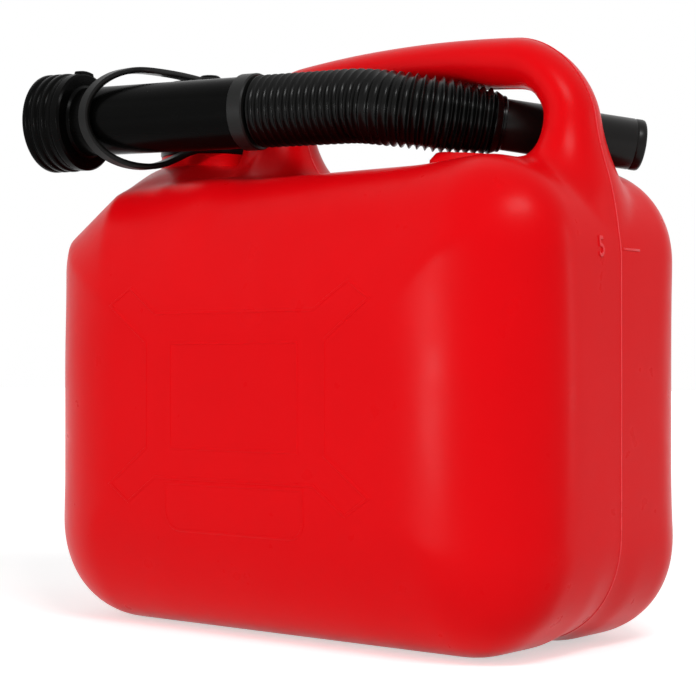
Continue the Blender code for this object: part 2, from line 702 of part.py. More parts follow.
def build_hose(route, start):
    """The ribbed hose, two points of unlike radius to a rib, with its bore cut out."""
    pitch = HOSE_LENGTH / RIB_COUNT
    points, radii = [], []
    for rib in range(RIB_COUNT):
        for place, height in ((0.25, RIB_HEIGHT), (0.75, 0.0)):
            share = (rib + place) / RIB_COUNT
            points.append(route.point(start + (rib + place) * pitch))
            radii.append(crest_radius(share) - RIB_HEIGHT + height)
    points = [route.point(start)] + points + [route.point(start + HOSE_LENGTH)]
    radii = [radii[1]] + radii + [radii[-1]]
    hose = add_object("flex_hose", tube_mesh("flex_hose", points, radii, 2), BLACK_LDPE)
    shares = [place / RIB_COUNT for place in range(0, RIB_COUNT + 1)]
    margin = pitch
    bore_points = [route.point(start + (share * (HOSE_LENGTH + 2 * margin)) - margin) for share in shares]
    bore_radii = [crest_radius(share) - RIB_HEIGHT - HOSE_WALL / math.cos(math.pi / HOSE_SIDES)
                  for share in shares]
    bore = add_object("hose_bore_form", tube_mesh("hose_bore_form", bore_points, bore_radii, 2))
    return combine(hose, bore, "DIFFERENCE")


def build_cuff(route, start):
    """The ring that closes the hose onto the nozzle: a cone and a small step."""
    profile = ((NOZZLE_RADIUS + GAP, 0), (CUFF_RADIUS, 0), (CUFF_RADIUS, 0.2 * CUFF_LENGTH),
               (CUFF_STEP_RADIUS - GAP, 0.65 * CUFF_LENGTH), (CUFF_STEP_RADIUS, 0.7 * CUFF_LENGTH),
               (CUFF_STEP_RADIUS, CUFF_LENGTH), (NOZZLE_RADIUS + GAP, CUFF_LENGTH))
    return lay_along(add_object("nozzle_cuff", turned("nozzle_cuff", profile), BLACK_LDPE), route, start)


def build_nozzle(route, start, end):
    """The straight nozzle: a tube that starts inside the hose and ends in a rounded band."""
    length = end - start
    band = NOZZLE_RADIUS + TIP_BAND_HEIGHT / 2
    band_start = length - TIP_BAND_LENGTH
    profile = ((NOZZLE_BORE_RADIUS, 0), (NOZZLE_RADIUS, 0), (NOZZLE_RADIUS, band_start - 0.0012),
               (NOZZLE_RADIUS - TIP_BAND_HEIGHT, band_start - 0.0006), (NOZZLE_RADIUS, band_start),
               (band, band_start + 0.0004), (band, length - 0.0008),
               (NOZZLE_RADIUS - TIP_BAND_HEIGHT, length), (NOZZLE_BORE_RADIUS, length))
    return lay_along(add_object("nozzle", turned("nozzle", profile), BLACK_LDPE), route, start)


def strap_line(route):
    """Centre points of the strap from the cap's stud, round the stowed tube and back to the neck's ring."""
    along = next(length for length in np.arange(0, TUBE_LENGTH, ROUTE_STEP)
                 if route.point(length).x > LOOP_FRONT_X)
    tube = route.point(along)
    turn_y = tube.y - TUBE_RADIUS - LOOP_SLACK - STRAP_THICKNESS / 2 + LOOP_DEPTH
    stud = (NECK_X, -0.8 * STUD_RING_RADIUS, CAP_TOP + GAP + STRAP_THICKNESS / 2)
    loop_top = CAP_TOP + STRAP_THICKNESS / 4
    loop_bottom = tube.z - TUBE_RADIUS - LOOP_BELOW - STRAP_THICKNESS / 2
    side = math.radians(RING_SIDE_ANGLE)
    ring_reach = NECK_RING_RADIUS - 0.3 * STRAP_WIDTH
    ring = (NECK_X + ring_reach * math.cos(side), ring_reach * math.sin(side),
            PEDESTAL_TOP + GAP + NECK_RING_HEIGHT / 2)
    line = []
    for share in np.linspace(0, 1, 9)[:-1]:
        bow = STRAP_BOW * math.sin(math.pi * share)
        line.append((stud[0] + (LOOP_END_X - stud[0]) * share, stud[1] + (turn_y - stud[1]) * share,
                     stud[2] + (loop_top - stud[2]) * ramp(share, 0, 1) + bow))
    middle, half_height = (loop_top + loop_bottom) / 2, (loop_top - loop_bottom) / 2
    for turn in np.radians(np.linspace(90, 270, 21)):
        line.append((LOOP_END_X - (LOOP_FRONT_X - LOOP_END_X) * math.cos(turn),
                     turn_y + LOOP_DEPTH * math.cos(turn), middle + half_height * math.sin(turn)))
    for share in np.linspace(0, 1, 9)[1:]:
        line.append((LOOP_END_X + (ring[0] - LOOP_END_X) * share, turn_y + (ring[1] - turn_y) * share,
                     loop_bottom + (ring[2] - loop_bottom) * ramp(share, *LOWER_STRAND_RISE)))
    line = np.array(line)
    for _ in range(3):
        line[1:-1] = (line[:-2] + 2 * line[1:-1] + line[2:]) / 4
    return [Vector(point) for point in line]


def build_strap(route):
    """The strap: a flat band between a ring round the neck and a ring over the cap's stud."""
    line = strap_line(route)
    shape = bmesh.new()
    rings = []
    for place, point in enumerate(line):
        ahead = line[min(place + 1, len(line) - 1)] - line[max(place - 1, 0)]
        wide = Vector((1, 0, 0))
        wide = (wide - ahead * wide.dot(ahead) / ahead.length_squared).normalized() * (STRAP_WIDTH / 2)
        thick = ahead.cross(wide).normalized() * (STRAP_THICKNESS / 2)
        rings.append([shape.verts.new(point + offset)
                      for offset in (wide + thick, wide - thick, -wide - thick, thick - wide)])
    bridge_rings(shape, rings)
    strap = add_object("cap_strap", from_bmesh("cap_strap", shape), BLACK_LDPE)
    combine(strap, ring_form("neck_ring_form", NECK_RADIUS + GAP, NECK_RING_RADIUS,
                             PEDESTAL_TOP + GAP, NECK_RING_HEIGHT), "UNION")
    combine(strap, ring_form("stud_ring_form", STUD_RADIUS + GAP, STUD_RING_RADIUS,
                             CAP_TOP + GAP, STRAP_THICKNESS), "UNION")
    return strap


def ring_form(name, inner, outer, low, height):
    """A flat ring round the neck's axis."""
    profile = ((inner, low), (outer, low), (outer, low + height), (inner, low + height))
    item = add_object(name, turned(name, profile))
    item.location.x = NECK_X
    return item


def build_spout(route):
    """Every piece of the stowed spout, from the socket's mouth to the nozzle's tip."""
    build_spout_base(route)
    build_spout_seal(route)
    collar_start = SOCKET_LENGTH + FLANGE_LENGTH + TUBE_LENGTH + GAP
    build_collar(route, collar_start)
    hose_start = collar_start + COLLAR_LENGTH + GAP
    build_hose(route, hose_start)
    cuff_start = hose_start + HOSE_LENGTH + GAP
    build_cuff(route, cuff_start)
    build_nozzle(route, cuff_start - GAP - SPIGOT_LENGTH, route.lengths[-1])


def main():
    clear_scene()
    route = Route(rounded_route(SPOUT_ROUTE, SPOUT_BEND_RADII, ROUTE_STEP))
    build_can(route)
    build_cap()
    build_cap_seal()
    build_strap(route)
    build_spout(route)


main()
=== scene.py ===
"""Dressed scene of a five litre fuel can whose flexible pouring spout is stowed through its handle.

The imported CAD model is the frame. Each sub-assembly below builds its finer meshes in the same frame,
in metres, and says which CAD nodes they stand for.
"""
import logging
import math
from dataclasses import dataclass, field
from enum import Enum
from typing import Callable, Sequence

import bmesh
import bpy
import numpy as np
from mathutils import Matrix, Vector


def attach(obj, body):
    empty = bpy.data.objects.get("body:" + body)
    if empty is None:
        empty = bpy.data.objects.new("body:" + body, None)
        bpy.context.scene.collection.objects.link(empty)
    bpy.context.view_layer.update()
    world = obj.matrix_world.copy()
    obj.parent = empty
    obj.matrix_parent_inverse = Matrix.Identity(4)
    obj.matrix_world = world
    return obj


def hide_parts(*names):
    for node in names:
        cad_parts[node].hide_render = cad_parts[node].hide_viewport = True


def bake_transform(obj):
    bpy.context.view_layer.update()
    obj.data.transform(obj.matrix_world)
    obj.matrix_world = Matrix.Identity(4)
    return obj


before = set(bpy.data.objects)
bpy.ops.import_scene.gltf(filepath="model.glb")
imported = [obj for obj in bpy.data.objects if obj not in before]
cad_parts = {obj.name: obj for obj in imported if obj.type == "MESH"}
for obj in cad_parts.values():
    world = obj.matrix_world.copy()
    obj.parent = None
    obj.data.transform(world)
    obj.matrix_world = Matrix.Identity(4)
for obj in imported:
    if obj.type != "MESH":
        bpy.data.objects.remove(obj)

logging.basicConfig(level=logging.INFO, format="%(message)s")
log = logging.getLogger("fuel_can")

PHOTO_SIDE = 696
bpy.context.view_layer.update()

NECK_X = -0.0852
NECK_RADIUS = 0.0176
GAP = 0.0003
WASHER_BORE = 0.0135
WASHER_THICKNESS = 0.0020
THREAD_HEIGHT = 0.0015
THREAD_FOOT = 0.00110
THREAD_SECTION = ((0.1, 0.00100), (0.85, 0.00062), (1.0, 0.00038))
THREAD_RUN_OUT = math.radians(40)
SHARP_ANGLE = math.radians(40)
BEVEL_ANGLE = math.radians(38)
PROBE = 0.00005
UP = Vector((0, 0, 1))

Point = tuple[float, float, float]
Profile = Sequence[tuple[float, float]]
Inputs = dict[str | int, bpy.types.NodeSocket | float | tuple[float, ...]]


class Body(Enum):
    """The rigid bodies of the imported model."""

    CAN = "can"
    CAP_CARRIER = "cap_carrier"
    CAP = "cap"
    SPOUT = "spout"
    NOZZLE_END = "nozzle_end"


class Slot(Enum):
    """The record's material slots."""

    RED = "red_hdpe"
    GLOSSY_BLACK = "black_polypropylene"
    SATIN_BLACK = "black_polyethylene"
    DARK_GREY = "dark_grey_polyethylene"
    RUBBER = "seal_rubber"


@dataclass(frozen=True)
class NodeWork:
    """Adds nodes to one shader tree."""

    tree: bpy.types.NodeTree

    def feed(self, node: bpy.types.Node, inputs: Inputs) -> None:
        """Give a node's inputs their values, or link sockets to them.

        Args:
            node: The node.
            inputs: A value or a socket for each input that is set, by its name or number.
        """
        for name, value in inputs.items():
            if isinstance(value, bpy.types.NodeSocket):
                self.tree.links.new(value, node.inputs[name])
            else:
                node.inputs[name].default_value = value

    def add(self, kind: str, inputs: Inputs | None = None, **settings: str) -> bpy.types.Node:
        """Add a node.

        Args:
            kind: The end of its type's name.
            inputs: What its inputs are given.
            **settings: Its own settings.

        Returns:
            The node.
        """
        node = self.tree.nodes.new("ShaderNode" + kind)
        for name, value in settings.items():
            setattr(node, name, value)
        self.feed(node, inputs or {})
        return node

    def noise(self, place: bpy.types.NodeSocket, size: float, detail: float) -> bpy.types.NodeSocket:
        """The value of a noise texture.

        Args:
            place: The socket that gives the coordinates.
            size: The length of its waves, in metres.
            detail: Octaves of finer noise.

        Returns:
            The socket of its value.
        """
        return self.add("TexNoise", {"Vector": place, "Scale": 1 / size, "Detail": detail}).outputs["Fac"]


@dataclass(frozen=True)
class Plastic:
    """A moulded plastic: its colour with slow variation, its gloss, and the fine waviness of its skin."""

    name: str
    slot: Slot
    colour: Point
    other_colour: Point
    roughness: tuple[float, float]
    specular: float
    ripple_size: float = 0.004
    ripple_depth: float = 0.00003
    mottle_size: float = 0.05
    patch_size: float = 0.0125
    scuff_size: float = 1 / 900
    scuff_stretch: Point = (0.25, 1.0, 3.0)
    scuff_depth: float = 0.00001

    def material(self) -> bpy.types.Material:
        """The material of this finish, made once.

        Returns:
            The node material.
        """
        found = bpy.data.materials.get(self.name)
        if found:
            return found
        made = bpy.data.materials.new(self.name)
        made.use_nodes = True
        work = NodeWork(made.node_tree)
        place = work.add("TexCoord").outputs["Object"]
        colour = work.add("Mix", {0: work.noise(place, self.mottle_size, 3.0), 6: (*self.colour, 1.0),
                                  7: (*self.other_colour, 1.0)}, data_type="RGBA")
        patches = work.noise(place, self.patch_size, 5.0)
        gloss = work.add("MapRange", {"Value": patches, "From Min": 0.3, "From Max": 0.7,
                                      "To Min": self.roughness[0], "To Max": self.roughness[1]})
        ripple = work.add("Bump", {"Height": work.noise(place, self.ripple_size, 2.0), "Strength": 1.0,
                                   "Distance": self.ripple_depth})
        stretched = work.add("Mapping", {"Vector": place, "Scale": self.scuff_stretch}).outputs["Vector"]
        scuff = work.add("Bump", {"Height": work.noise(stretched, self.scuff_size, 4.0), "Strength": 1.0,
                                  "Distance": self.scuff_depth, "Normal": ripple.outputs["Normal"]})
        work.feed(made.node_tree.nodes["Principled BSDF"], {
            "Base Color": colour.outputs[2], "Roughness": gloss.outputs["Result"],
            "Specular IOR Level": self.specular, "Normal": scuff.outputs["Normal"]})
        return made


RED_SKIN = Plastic("red_skin", Slot.RED, (0.74, 0.0012, 0.0040), (0.69, 0.0010, 0.0034), (0.27, 0.35), 0.065,
                   ripple_size=0.009, ripple_depth=0.00005)
# Lighter, glossier red for the raised parting line, digit and level line: the lighter colour is a painted
# highlight along these ridges, while the higher gloss catches real light
RED_PAINTED_HIGHLIGHT = Plastic("red_painted_highlight", Slot.RED, (0.80, 0.024, 0.032), (0.76, 0.020, 0.028), (0.25, 0.33), 0.20)
GLOSSY_BLACK = Plastic("glossy_black", Slot.GLOSSY_BLACK, (0.0010, 0.0010, 0.0009),
                       (0.0018, 0.0018, 0.0017), (0.20, 0.28), 0.03, ripple_size=0.006)
HOSE_BLACK = Plastic("hose_black", Slot.SATIN_BLACK, (0.0010, 0.0010, 0.0009),
                     (0.0018, 0.0018, 0.0017), (0.22, 0.30), 0.13)
NOZZLE_BLACK = Plastic("nozzle_black", Slot.SATIN_BLACK, (0.0040, 0.0036, 0.0033),
                       (0.0060, 0.0055, 0.0050), (0.28, 0.36), 0.14)
STRAP_BLACK = Plastic("strap_black", Slot.SATIN_BLACK, (0.0030, 0.0030, 0.0028),
                      (0.0045, 0.0045, 0.0042), (0.28, 0.36), 0.14)
COLLAR_GREY = Plastic("collar_grey", Slot.DARK_GREY, (0.0050, 0.0051, 0.0048),
                      (0.0070, 0.0071, 0.0068), (0.34, 0.42), 0.16)
RUBBER = Plastic("washer_rubber", Slot.RUBBER, (0.020, 0.019, 0.018), (0.028, 0.027, 0.025), (0.62, 0.75),
                 0.15, ripple_size=0.002, ripple_depth=0.00004)


def link(name: str, data: bpy.types.ID) -> bpy.types.Object:
    """Put a mesh, lamp or camera into the scene as an object.

    Args:
        name: The object's name.
        data: What it shows.

    Returns:
        The object.
    """
    made = bpy.data.objects.new(name, data)
    bpy.context.scene.collection.objects.link(made)
    return made


def turns_round(count: int) -> list[float]:
    """Evenly spaced turns round a circle, in radians."""
    return [math.tau * side / count for side in range(count)]


def add_piece(name: str, mesh: bpy.types.Mesh, finish: Plastic, edge: float = 0.0) -> bpy.types.Object:
    """Link a mesh as one piece with its finish.

    Args:
        name: The piece's name.
        mesh: Its mesh, in the CAD model's frame.
        finish: The plastic that it is made of.
        edge: The radius of its rounded edges, or 0 for none.

    Returns:
        The new object.
    """
    piece = link(name, mesh)
    mesh.materials.clear()
    mesh.materials.append(finish.material())
    mesh.shade_smooth()
    mesh.set_sharp_from_angle(angle=SHARP_ANGLE)
    if edge:
        bevel = piece.modifiers.new("rounded_edges", "BEVEL")
        bevel.width = edge
        bevel.segments = 2
        bevel.limit_method = "ANGLE"
        bevel.angle_limit = BEVEL_ANGLE
    return piece


def settle_on(piece: bpy.types.Object, body: Body, nodes: Sequence[str] = ()) -> bpy.types.Object:
    """Make a piece ride on a body, in place of CAD nodes.

    Args:
        piece: The piece.
        body: The body that it moves with.
        nodes: The CAD nodes that it stands for.

    Returns:
        The piece.
    """
    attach(piece, body.value)
    if nodes:
        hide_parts(*nodes)
    log.info("%s rides on %s", piece.name, body.value)
    return piece


def bend_between(piece: bpy.types.Object, bodies: tuple[Body, Body],
                 nodes: Sequence[str]) -> bpy.types.Object:
    """Bake a soft piece's placement into its mesh, in place of CAD nodes, and log the bodies at its ends.

    Args:
        piece: The piece.
        bodies: The body at its start and the body at its end.
        nodes: The CAD nodes that it stands for.

    Returns:
        The piece.
    """
    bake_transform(piece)
    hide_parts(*nodes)
    log.info("%s bends from %s to %s", piece.name, bodies[0].value, bodies[1].value)
    return piece


class MeshWork:
    """Collects turned, swept and skinned forms into one mesh."""

    def __init__(self) -> None:
        """Start an empty mesh."""
        self.shape = bmesh.new()

    def skin(self, rings: Sequence[Sequence[Vector]], ends: bool = True, joined: bool = False) -> "MeshWork":
        """Skin a row of rings of points.

        Args:
            rings: The rings, each with as many points.
            ends: Whether the first and last ring are closed with a face.
            joined: Whether the last ring joins the first.

        Returns:
            This object, so that calls can follow each other.
        """
        made = [[self.shape.verts.new(point) for point in ring] for ring in rings]
        row = made + made[:1] if joined else made
        for ring, after in zip(row, row[1:]):
            for place in range(len(ring)):
                beside = (place + 1) % len(ring)
                self.shape.faces.new((ring[place], ring[beside], after[beside], after[place]))
        if ends and not joined:
            self.shape.faces.new(made[0])
            self.shape.faces.new(made[-1][::-1])
        return self

    def turn(self, profile: Profile, axis: "Axis", sides: int = 96,
             swell: Callable[[int, float], float] | None = None) -> "MeshWork":
        """Turn a closed outline about an axis.

        Args:
            profile: Its (radius, height) points; a closed loop, clear of the axis or with both ends on it.
            axis: The line that it turns about.
            sides: The number of sides.
            swell: Gives what is added to a radius, from a side's number and that radius.

        Returns:
            This object.
        """
        solid = profile[0][0] == 0.0
        rings = []
        for side, turn in enumerate(turns_round(sides)):
            ring = []
            for radius, height in profile[1:-1] if solid else profile:
                grown = radius + (swell(side, radius) if swell else 0.0)
                ring.append(axis.at(grown, turn, height))
            rings.append(ring)
        made = [[self.shape.verts.new(point) for point in ring] for ring in rings]
        poles = [self.shape.verts.new(axis.at(0.0, 0.0, profile[end][1])) for end in (0, -1)] if solid else []
        for ring, after in zip(made, made[1:] + made[:1]):
            for place in range(len(ring) - 1):
                self.shape.faces.new((ring[place], ring[place + 1], after[place + 1], after[place]))
            if solid:
                self.shape.faces.new((poles[0], ring[0], after[0]))
                self.shape.faces.new((ring[-1], poles[1], after[-1]))
            else:
                self.shape.faces.new((ring[-1], ring[0], after[0], after[-1]))
        return self

    def helix(self, axis: "Axis", root: float, height: float, start: float, turns: float,
              pitch: float = 0.004, steps: int = 60) -> "MeshWork":
        """A rounded screw ridge whose ends run out to nothing.

        Args:
            axis: The screw's axis.
            root: The radius of the wall that it stands on.
            height: How far it stands out; negative in a bore.
            start: The height of its first turn's middle.
            turns: The number of turns.
            pitch: The rise to a turn.
            steps: The steps to a turn.

        Returns:
            This object.
        """
        sink = math.copysign(0.0003, height)
        rings = []
        count = round(turns * steps)
        for step in range(count + 1):
            angle = math.tau * step / steps
            near_end = min(angle, turns * math.tau - angle) / THREAD_RUN_OUT
            rise = height * min(1.0, 0.1 + near_end)
            middle = start + pitch * angle / math.tau
            flank = [(root - sink, THREAD_FOOT)]
            flank += [(root + share * rise, half) for share, half in THREAD_SECTION]
            section = [(radius, -half) for radius, half in flank] + flank[::-1]
            rings.append([axis.at(radius, angle, middle + offset) for radius, offset in section])
        return self.skin(rings)

    def mesh(self, name: str) -> bpy.types.Mesh:
        """Finish the mesh with its faces turned outwards.

        Args:
            name: The mesh's name.

        Returns:
            The mesh.
        """
        bmesh.ops.recalc_face_normals(self.shape, faces=self.shape.faces)
        made = bpy.data.meshes.new(name)
        self.shape.to_mesh(made)
        self.shape.free()
        return made


@dataclass(frozen=True)
class Axis:
    """A line through space with a direction round it, for turned forms."""

    origin: Vector
    along: Vector

    def sides(self) -> tuple[Vector, Vector]:
        """The two unit directions square to the axis; the second is the one nearest to up or across."""
        spin = self.along.to_track_quat("Z", "Y")
        return spin @ Vector((1, 0, 0)), spin @ Vector((0, 1, 0))

    def at(self, radius: float, turn: float, height: float) -> Vector:
        """A point by its place round the axis.

        Args:
            radius: Its distance from the axis.
            turn: Its turn round it, in radians.
            height: Its height along it.

        Returns:
            The point.
        """
        across, upward = self.sides()
        return (self.origin + self.along * height + across * (radius * math.cos(turn))
                + upward * (radius * math.sin(turn)))


NECK_AXIS = Axis(Vector((NECK_X, 0, 0)), UP)


def washer(name: str, outer: float, low: float, axis: Axis) -> bpy.types.Object:
    """A rubber washer.

    Args:
        name: The piece's name.
        outer: Its outer radius.
        low: The height of its lower face along the axis.
        axis: Its axis.

    Returns:
        The washer.
    """
    high = low + WASHER_THICKNESS
    ring = ((WASHER_BORE, low), (outer, low), (outer, high), (WASHER_BORE, high))
    return add_piece(name, MeshWork().turn(ring, axis).mesh(name), RUBBER, edge=0.0004)


def rounded_route(corners: Sequence[Point], radii: Sequence[float], step: float) -> list[Vector]:
    """Points along straight runs whose corners are rounded.

    Args:
        corners: The corners, with both ends.
        radii: The radius at each inner corner.
        step: The least distance between points of an arc.

    Returns:
        The points.
    """
    spots = [Vector(corner) for corner in corners]
    points = [spots[0]]
    for place, radius in enumerate(radii, start=1):
        before = (spots[place] - spots[place - 1]).normalized()
        after = (spots[place + 1] - spots[place]).normalized()
        angle = before.angle(after)
        room = min((spots[place] - points[-1]).length, (spots[place + 1] - spots[place]).length)
        radius = min(radius, 0.9 * room / math.tan(angle / 2))
        inward = (after - before * before.dot(after)).normalized()
        start = spots[place] - before * radius * math.tan(angle / 2)
        count = max(2, math.ceil(radius * angle / step))
        for share in range(count + 1):
            turn = angle * share / count
            points.append(start + before * radius * math.sin(turn) + inward * radius * (1 - math.cos(turn)))
    return points + [spots[-1]]


class Route:
    """A line through space that can be asked for a point, a direction or a ring at any length along it."""

    def __init__(self, points: Sequence[Vector]) -> None:
        """Measure the line.

        Args:
            points: Its points, in order.
        """
        self.points = list(points)
        self.lengths = [0.0]
        for first, second in zip(points, points[1:]):
            self.lengths.append(self.lengths[-1] + (second - first).length)

    def _run(self, length: float) -> int:
        """The number of the straight run that holds a length."""
        return min(max(int(np.searchsorted(self.lengths, length, "right")) - 1, 0), len(self.points) - 2)

    def point(self, length: float) -> Vector:
        """The point at a length.

        Args:
            length: The length, which may lie a little past either end.

        Returns:
            The point.
        """
        run = self._run(length)
        way = (self.points[run + 1] - self.points[run]).normalized()
        return self.points[run] + way * (length - self.lengths[run])

    def direction(self, length: float, reach: float = 0.0008) -> Vector:
        """The smoothed unit direction of travel at a length."""
        return (self.point(length + reach) - self.point(length - reach)).normalized()

    def axis(self, length: float) -> Axis:
        """The axis that stands on the line at a length."""
        return Axis(self.point(length), self.direction(length))

    def ring(self, length: float, radius: float, sides: int) -> list[Vector]:
        """A ring of points round the line.

        Args:
            length: Where it stands.
            radius: Its radius.
            sides: The number of points.

        Returns:
            The points.
        """
        way = self.direction(length)
        level = UP.cross(way).normalized()
        upward = way.cross(level)
        centre = self.point(length)
        return [centre + level * (radius * math.cos(turn)) + upward * (radius * math.sin(turn))
                for turn in turns_round(sides)]


class Level:
    """Rounded joins of signed fields, which are negative inside."""

    @staticmethod
    def both(a: np.ndarray, b: np.ndarray, radius_a: float | np.ndarray, radius_b: float | np.ndarray,
             power: float = 2.15) -> np.ndarray:
        """Inside two fields at once, with a rounded edge.

        Args:
            a: The first field.
            b: The second field.
            radius_a: What the rounding takes off the first.
            radius_b: What it takes off the second.
            power: How square the rounding is; 2 is a circle.

        Returns:
            The joined field.
        """
        u = a / radius_a + 1
        v = b / radius_b + 1
        corner = (np.maximum(u, 0) ** power + np.maximum(v, 0) ** power) ** (1 / power)
        return (np.minimum(np.maximum(u, v), 0) + corner - 1) * np.minimum(radius_a, radius_b)

    @classmethod
    def either(cls, a: np.ndarray, b: np.ndarray, fillet: float | np.ndarray) -> np.ndarray:
        """Inside at least one of two fields, with a fillet where they meet."""
        return -cls.both(-a, -b, fillet, fillet, 2.0)

    @staticmethod
    def ramp(value: np.ndarray, start: float, end: float) -> np.ndarray:
        """A smooth step from 0 at start to 1 at end."""
        share = np.clip((value - start) / (end - start), 0, 1)
        return share * share * (3 - 2 * share)


@dataclass
class CanForm:
    """The outer form of the blow-moulded can below its neck, as a signed field."""

    width: float = 0.265
    depth: float = 0.147
    top: float = 0.1937
    foot_radius: float = 0.046
    shoulder_radius: float = 0.041
    side_round: tuple[float, float] = (0.060, 0.0447)
    foot_round: tuple[float, float] = (0.068, 0.037)
    shoulder_round: tuple[float, float] = (0.076, 0.040)
    slope_point: tuple[float, float] = (-0.1107, 0.1837)
    slope_angle: float = math.radians(33.0)
    slope_round: float = 0.0066
    channel_width: float = 0.034
    channel_depth: float = 0.0022
    channel_fade: tuple[float, float] = (0.020, 0.050)
    handle_top: float = 0.246
    grip_height: float = 0.0206
    grip_depth: float = 0.0266
    crown_centre: float = 0.033
    crown_radius: float = 0.56
    far_leg: tuple[float, float] = (0.1116, 0.200)
    far_tilt: float = math.radians(5.8)
    far_bend: float = 0.0221
    near_leg: float = -0.0475
    near_bend: float = 0.022
    near_post: float = -0.0390
    near_post_width: float = 0.0214
    near_post_fillet: float = 0.006
    handle_fillet: float = 0.0117
    inner_fillet: float = 0.0185
    inner_fillet_start: tuple[float, float] = (-0.055, -0.035)
    inner_fillet_end: tuple[float, float] = (0.0, 0.050)
    saddle_depth: float = 0.0022
    saddle_start: tuple[float, float] = (-0.045, -0.020)
    saddle_end: tuple[float, float] = (0.060, 0.100)
    mound_x: float = -0.0875
    mound_radius: float = 0.0218
    mound_top: float = 0.2030
    mound_fillet: float = 0.0258
    mound_round: float = 0.010
    foot_blend: tuple[float, float] = (0.010, 0.070)
    shoulder_blend: tuple[float, float] = (0.110, 0.170)
    fillet_floor: float = 0.05
    fillet_reach: float = 0.015
    fillet_drop: float = 0.005
    skin: float = 0.0002

    @property
    def shoulder(self) -> float:
        """The height at which the shoulder's round starts."""
        return self.top - self.shoulder_radius

    def body(self, x: np.ndarray, y: np.ndarray, z: np.ndarray) -> np.ndarray:
        """The field of the body without its handle.

        Args:
            x: The points' X.
            y: Their Y.
            z: Their Z.

        Returns:
            The field.
        """
        across = np.clip(np.abs(y) / (self.channel_width / 2), 0, 1)
        under = self.channel_depth * Level.ramp(np.abs(x), *self.channel_fade) * (1 - across ** 2) ** 2 - z
        outline = Level.both(np.abs(x) - self.width / 2, under, self.foot_radius, self.foot_radius)
        saddle = self.saddle_depth * Level.ramp(x, *self.saddle_start) * (1 - Level.ramp(x, *self.saddle_end))
        outline = Level.both(outline, z + saddle - self.top, self.shoulder_radius, self.shoulder_radius)
        slope = ((z - self.slope_point[1]) * math.cos(self.slope_angle)
                 - (x - self.slope_point[0]) * math.sin(self.slope_angle))
        outline = Level.both(outline, slope, self.slope_round, self.slope_round, 2.0)
        low = 1 - Level.ramp(z, *self.foot_blend)
        high = Level.ramp(z, *self.shoulder_blend)
        inset, drop = (side + (foot - side) * low + (shoulder - side) * high
                       for side, foot, shoulder in zip(self.side_round, self.foot_round, self.shoulder_round))
        return Level.both(outline, np.abs(y) - self.depth / 2, inset, drop)

    def oval(self, across: np.ndarray, y: np.ndarray, reach: float) -> np.ndarray:
        """The field of a bar of the handle's depth, from the distance across it and its half width."""
        return (np.hypot(across / reach, y / (self.grip_depth / 2)) - 1) * reach

    def handle(self, x: np.ndarray, y: np.ndarray, z: np.ndarray) -> np.ndarray:
        """The field of the handle, an oval bar bent down into two legs, the near one doubled.

        Args:
            x: The points' X.
            y: Their Y.
            z: Their Z.

        Returns:
            The field.
        """
        half = self.grip_height / 2
        crown = z - (self.handle_top - half - (x - self.crown_centre) ** 2 / (2 * self.crown_radius))
        leg = ((x - self.far_leg[0]) * math.cos(self.far_tilt)
               + (z - self.far_leg[1]) * math.sin(self.far_tilt))
        line = Level.both(crown, leg, self.far_bend, self.far_bend, 2.0)
        line = Level.both(line, self.near_leg - x, self.near_bend, self.near_bend, 2.0)
        post = np.maximum(self.oval(x - self.near_post, y, self.near_post_width / 2), crown)
        bar = Level.either(self.oval(line, y, half), post, self.near_post_fillet)
        return np.maximum(bar, self.shoulder - z)

    def field(self, points: np.ndarray) -> np.ndarray:
        """The field of the whole moulding, a skin's thickness inside the CAD's.

        Args:
            points: An array of points.

        Returns:
            The signed distance-like value at each.
        """
        x, y, z = points[..., 0], points[..., 1], points[..., 2]
        inner = Level.ramp(x, *self.inner_fillet_start) * (1 - Level.ramp(x, *self.inner_fillet_end))
        fillet = self.handle_fillet + (self.inner_fillet - self.handle_fillet) * inner
        rise = Level.ramp(z, self.shoulder - self.fillet_reach, self.top - self.fillet_drop)
        fillet = fillet * (self.fillet_floor + (1 - self.fillet_floor) * rise)
        moulding = Level.either(self.body(x, y, z), self.handle(x, y, z), fillet)
        post = np.maximum(np.hypot(x - self.mound_x, y) - self.mound_radius, self.shoulder - z)
        mound = Level.both(Level.either(moulding, post, self.mound_fillet), z - self.mound_top,
                           self.mound_round, self.mound_round, 2.0)
        return np.minimum(moulding, mound) + self.skin

    def settled(self, points: np.ndarray, rounds: int = 3) -> np.ndarray:
        """Points moved along the field's slope onto its zero level.

        Args:
            points: The points.
            rounds: How often they are moved.

        Returns:
            The moved points.
        """
        for _ in range(rounds):
            slope = np.stack([(self.field(points + step) - self.field(points - step)) / (2 * PROBE)
                              for step in PROBE * np.eye(3)], axis=-1)
            steepness = np.maximum((slope ** 2).sum(axis=-1), 0.05)
            step = np.clip(self.field(points) / steepness, -0.002, 0.002)
            points = points - step[:, None] * slope
        return points

    def face_at(self, first: np.ndarray, second: np.ndarray, axis: int, sign: int) -> np.ndarray:
        """Where a flat face lies, along its own axis.

        Args:
            first: The first of the other two coordinates.
            second: The second of them.
            axis: The face's axis.
            sign: Which of its two sides.

        Returns:
            The face's coordinate along the axis at each place.
        """
        half = (self.width, self.depth)[axis] / 2
        points = np.insert(np.stack([first, second], axis=-1), axis, sign * half, axis=-1)
        reach = PROBE * np.eye(3)[axis]
        for _ in range(8):
            slope = (self.field(points + reach) - self.field(points - reach)) / (2 * PROBE)
            points[..., axis] -= self.field(points) / slope
        return points[..., axis]

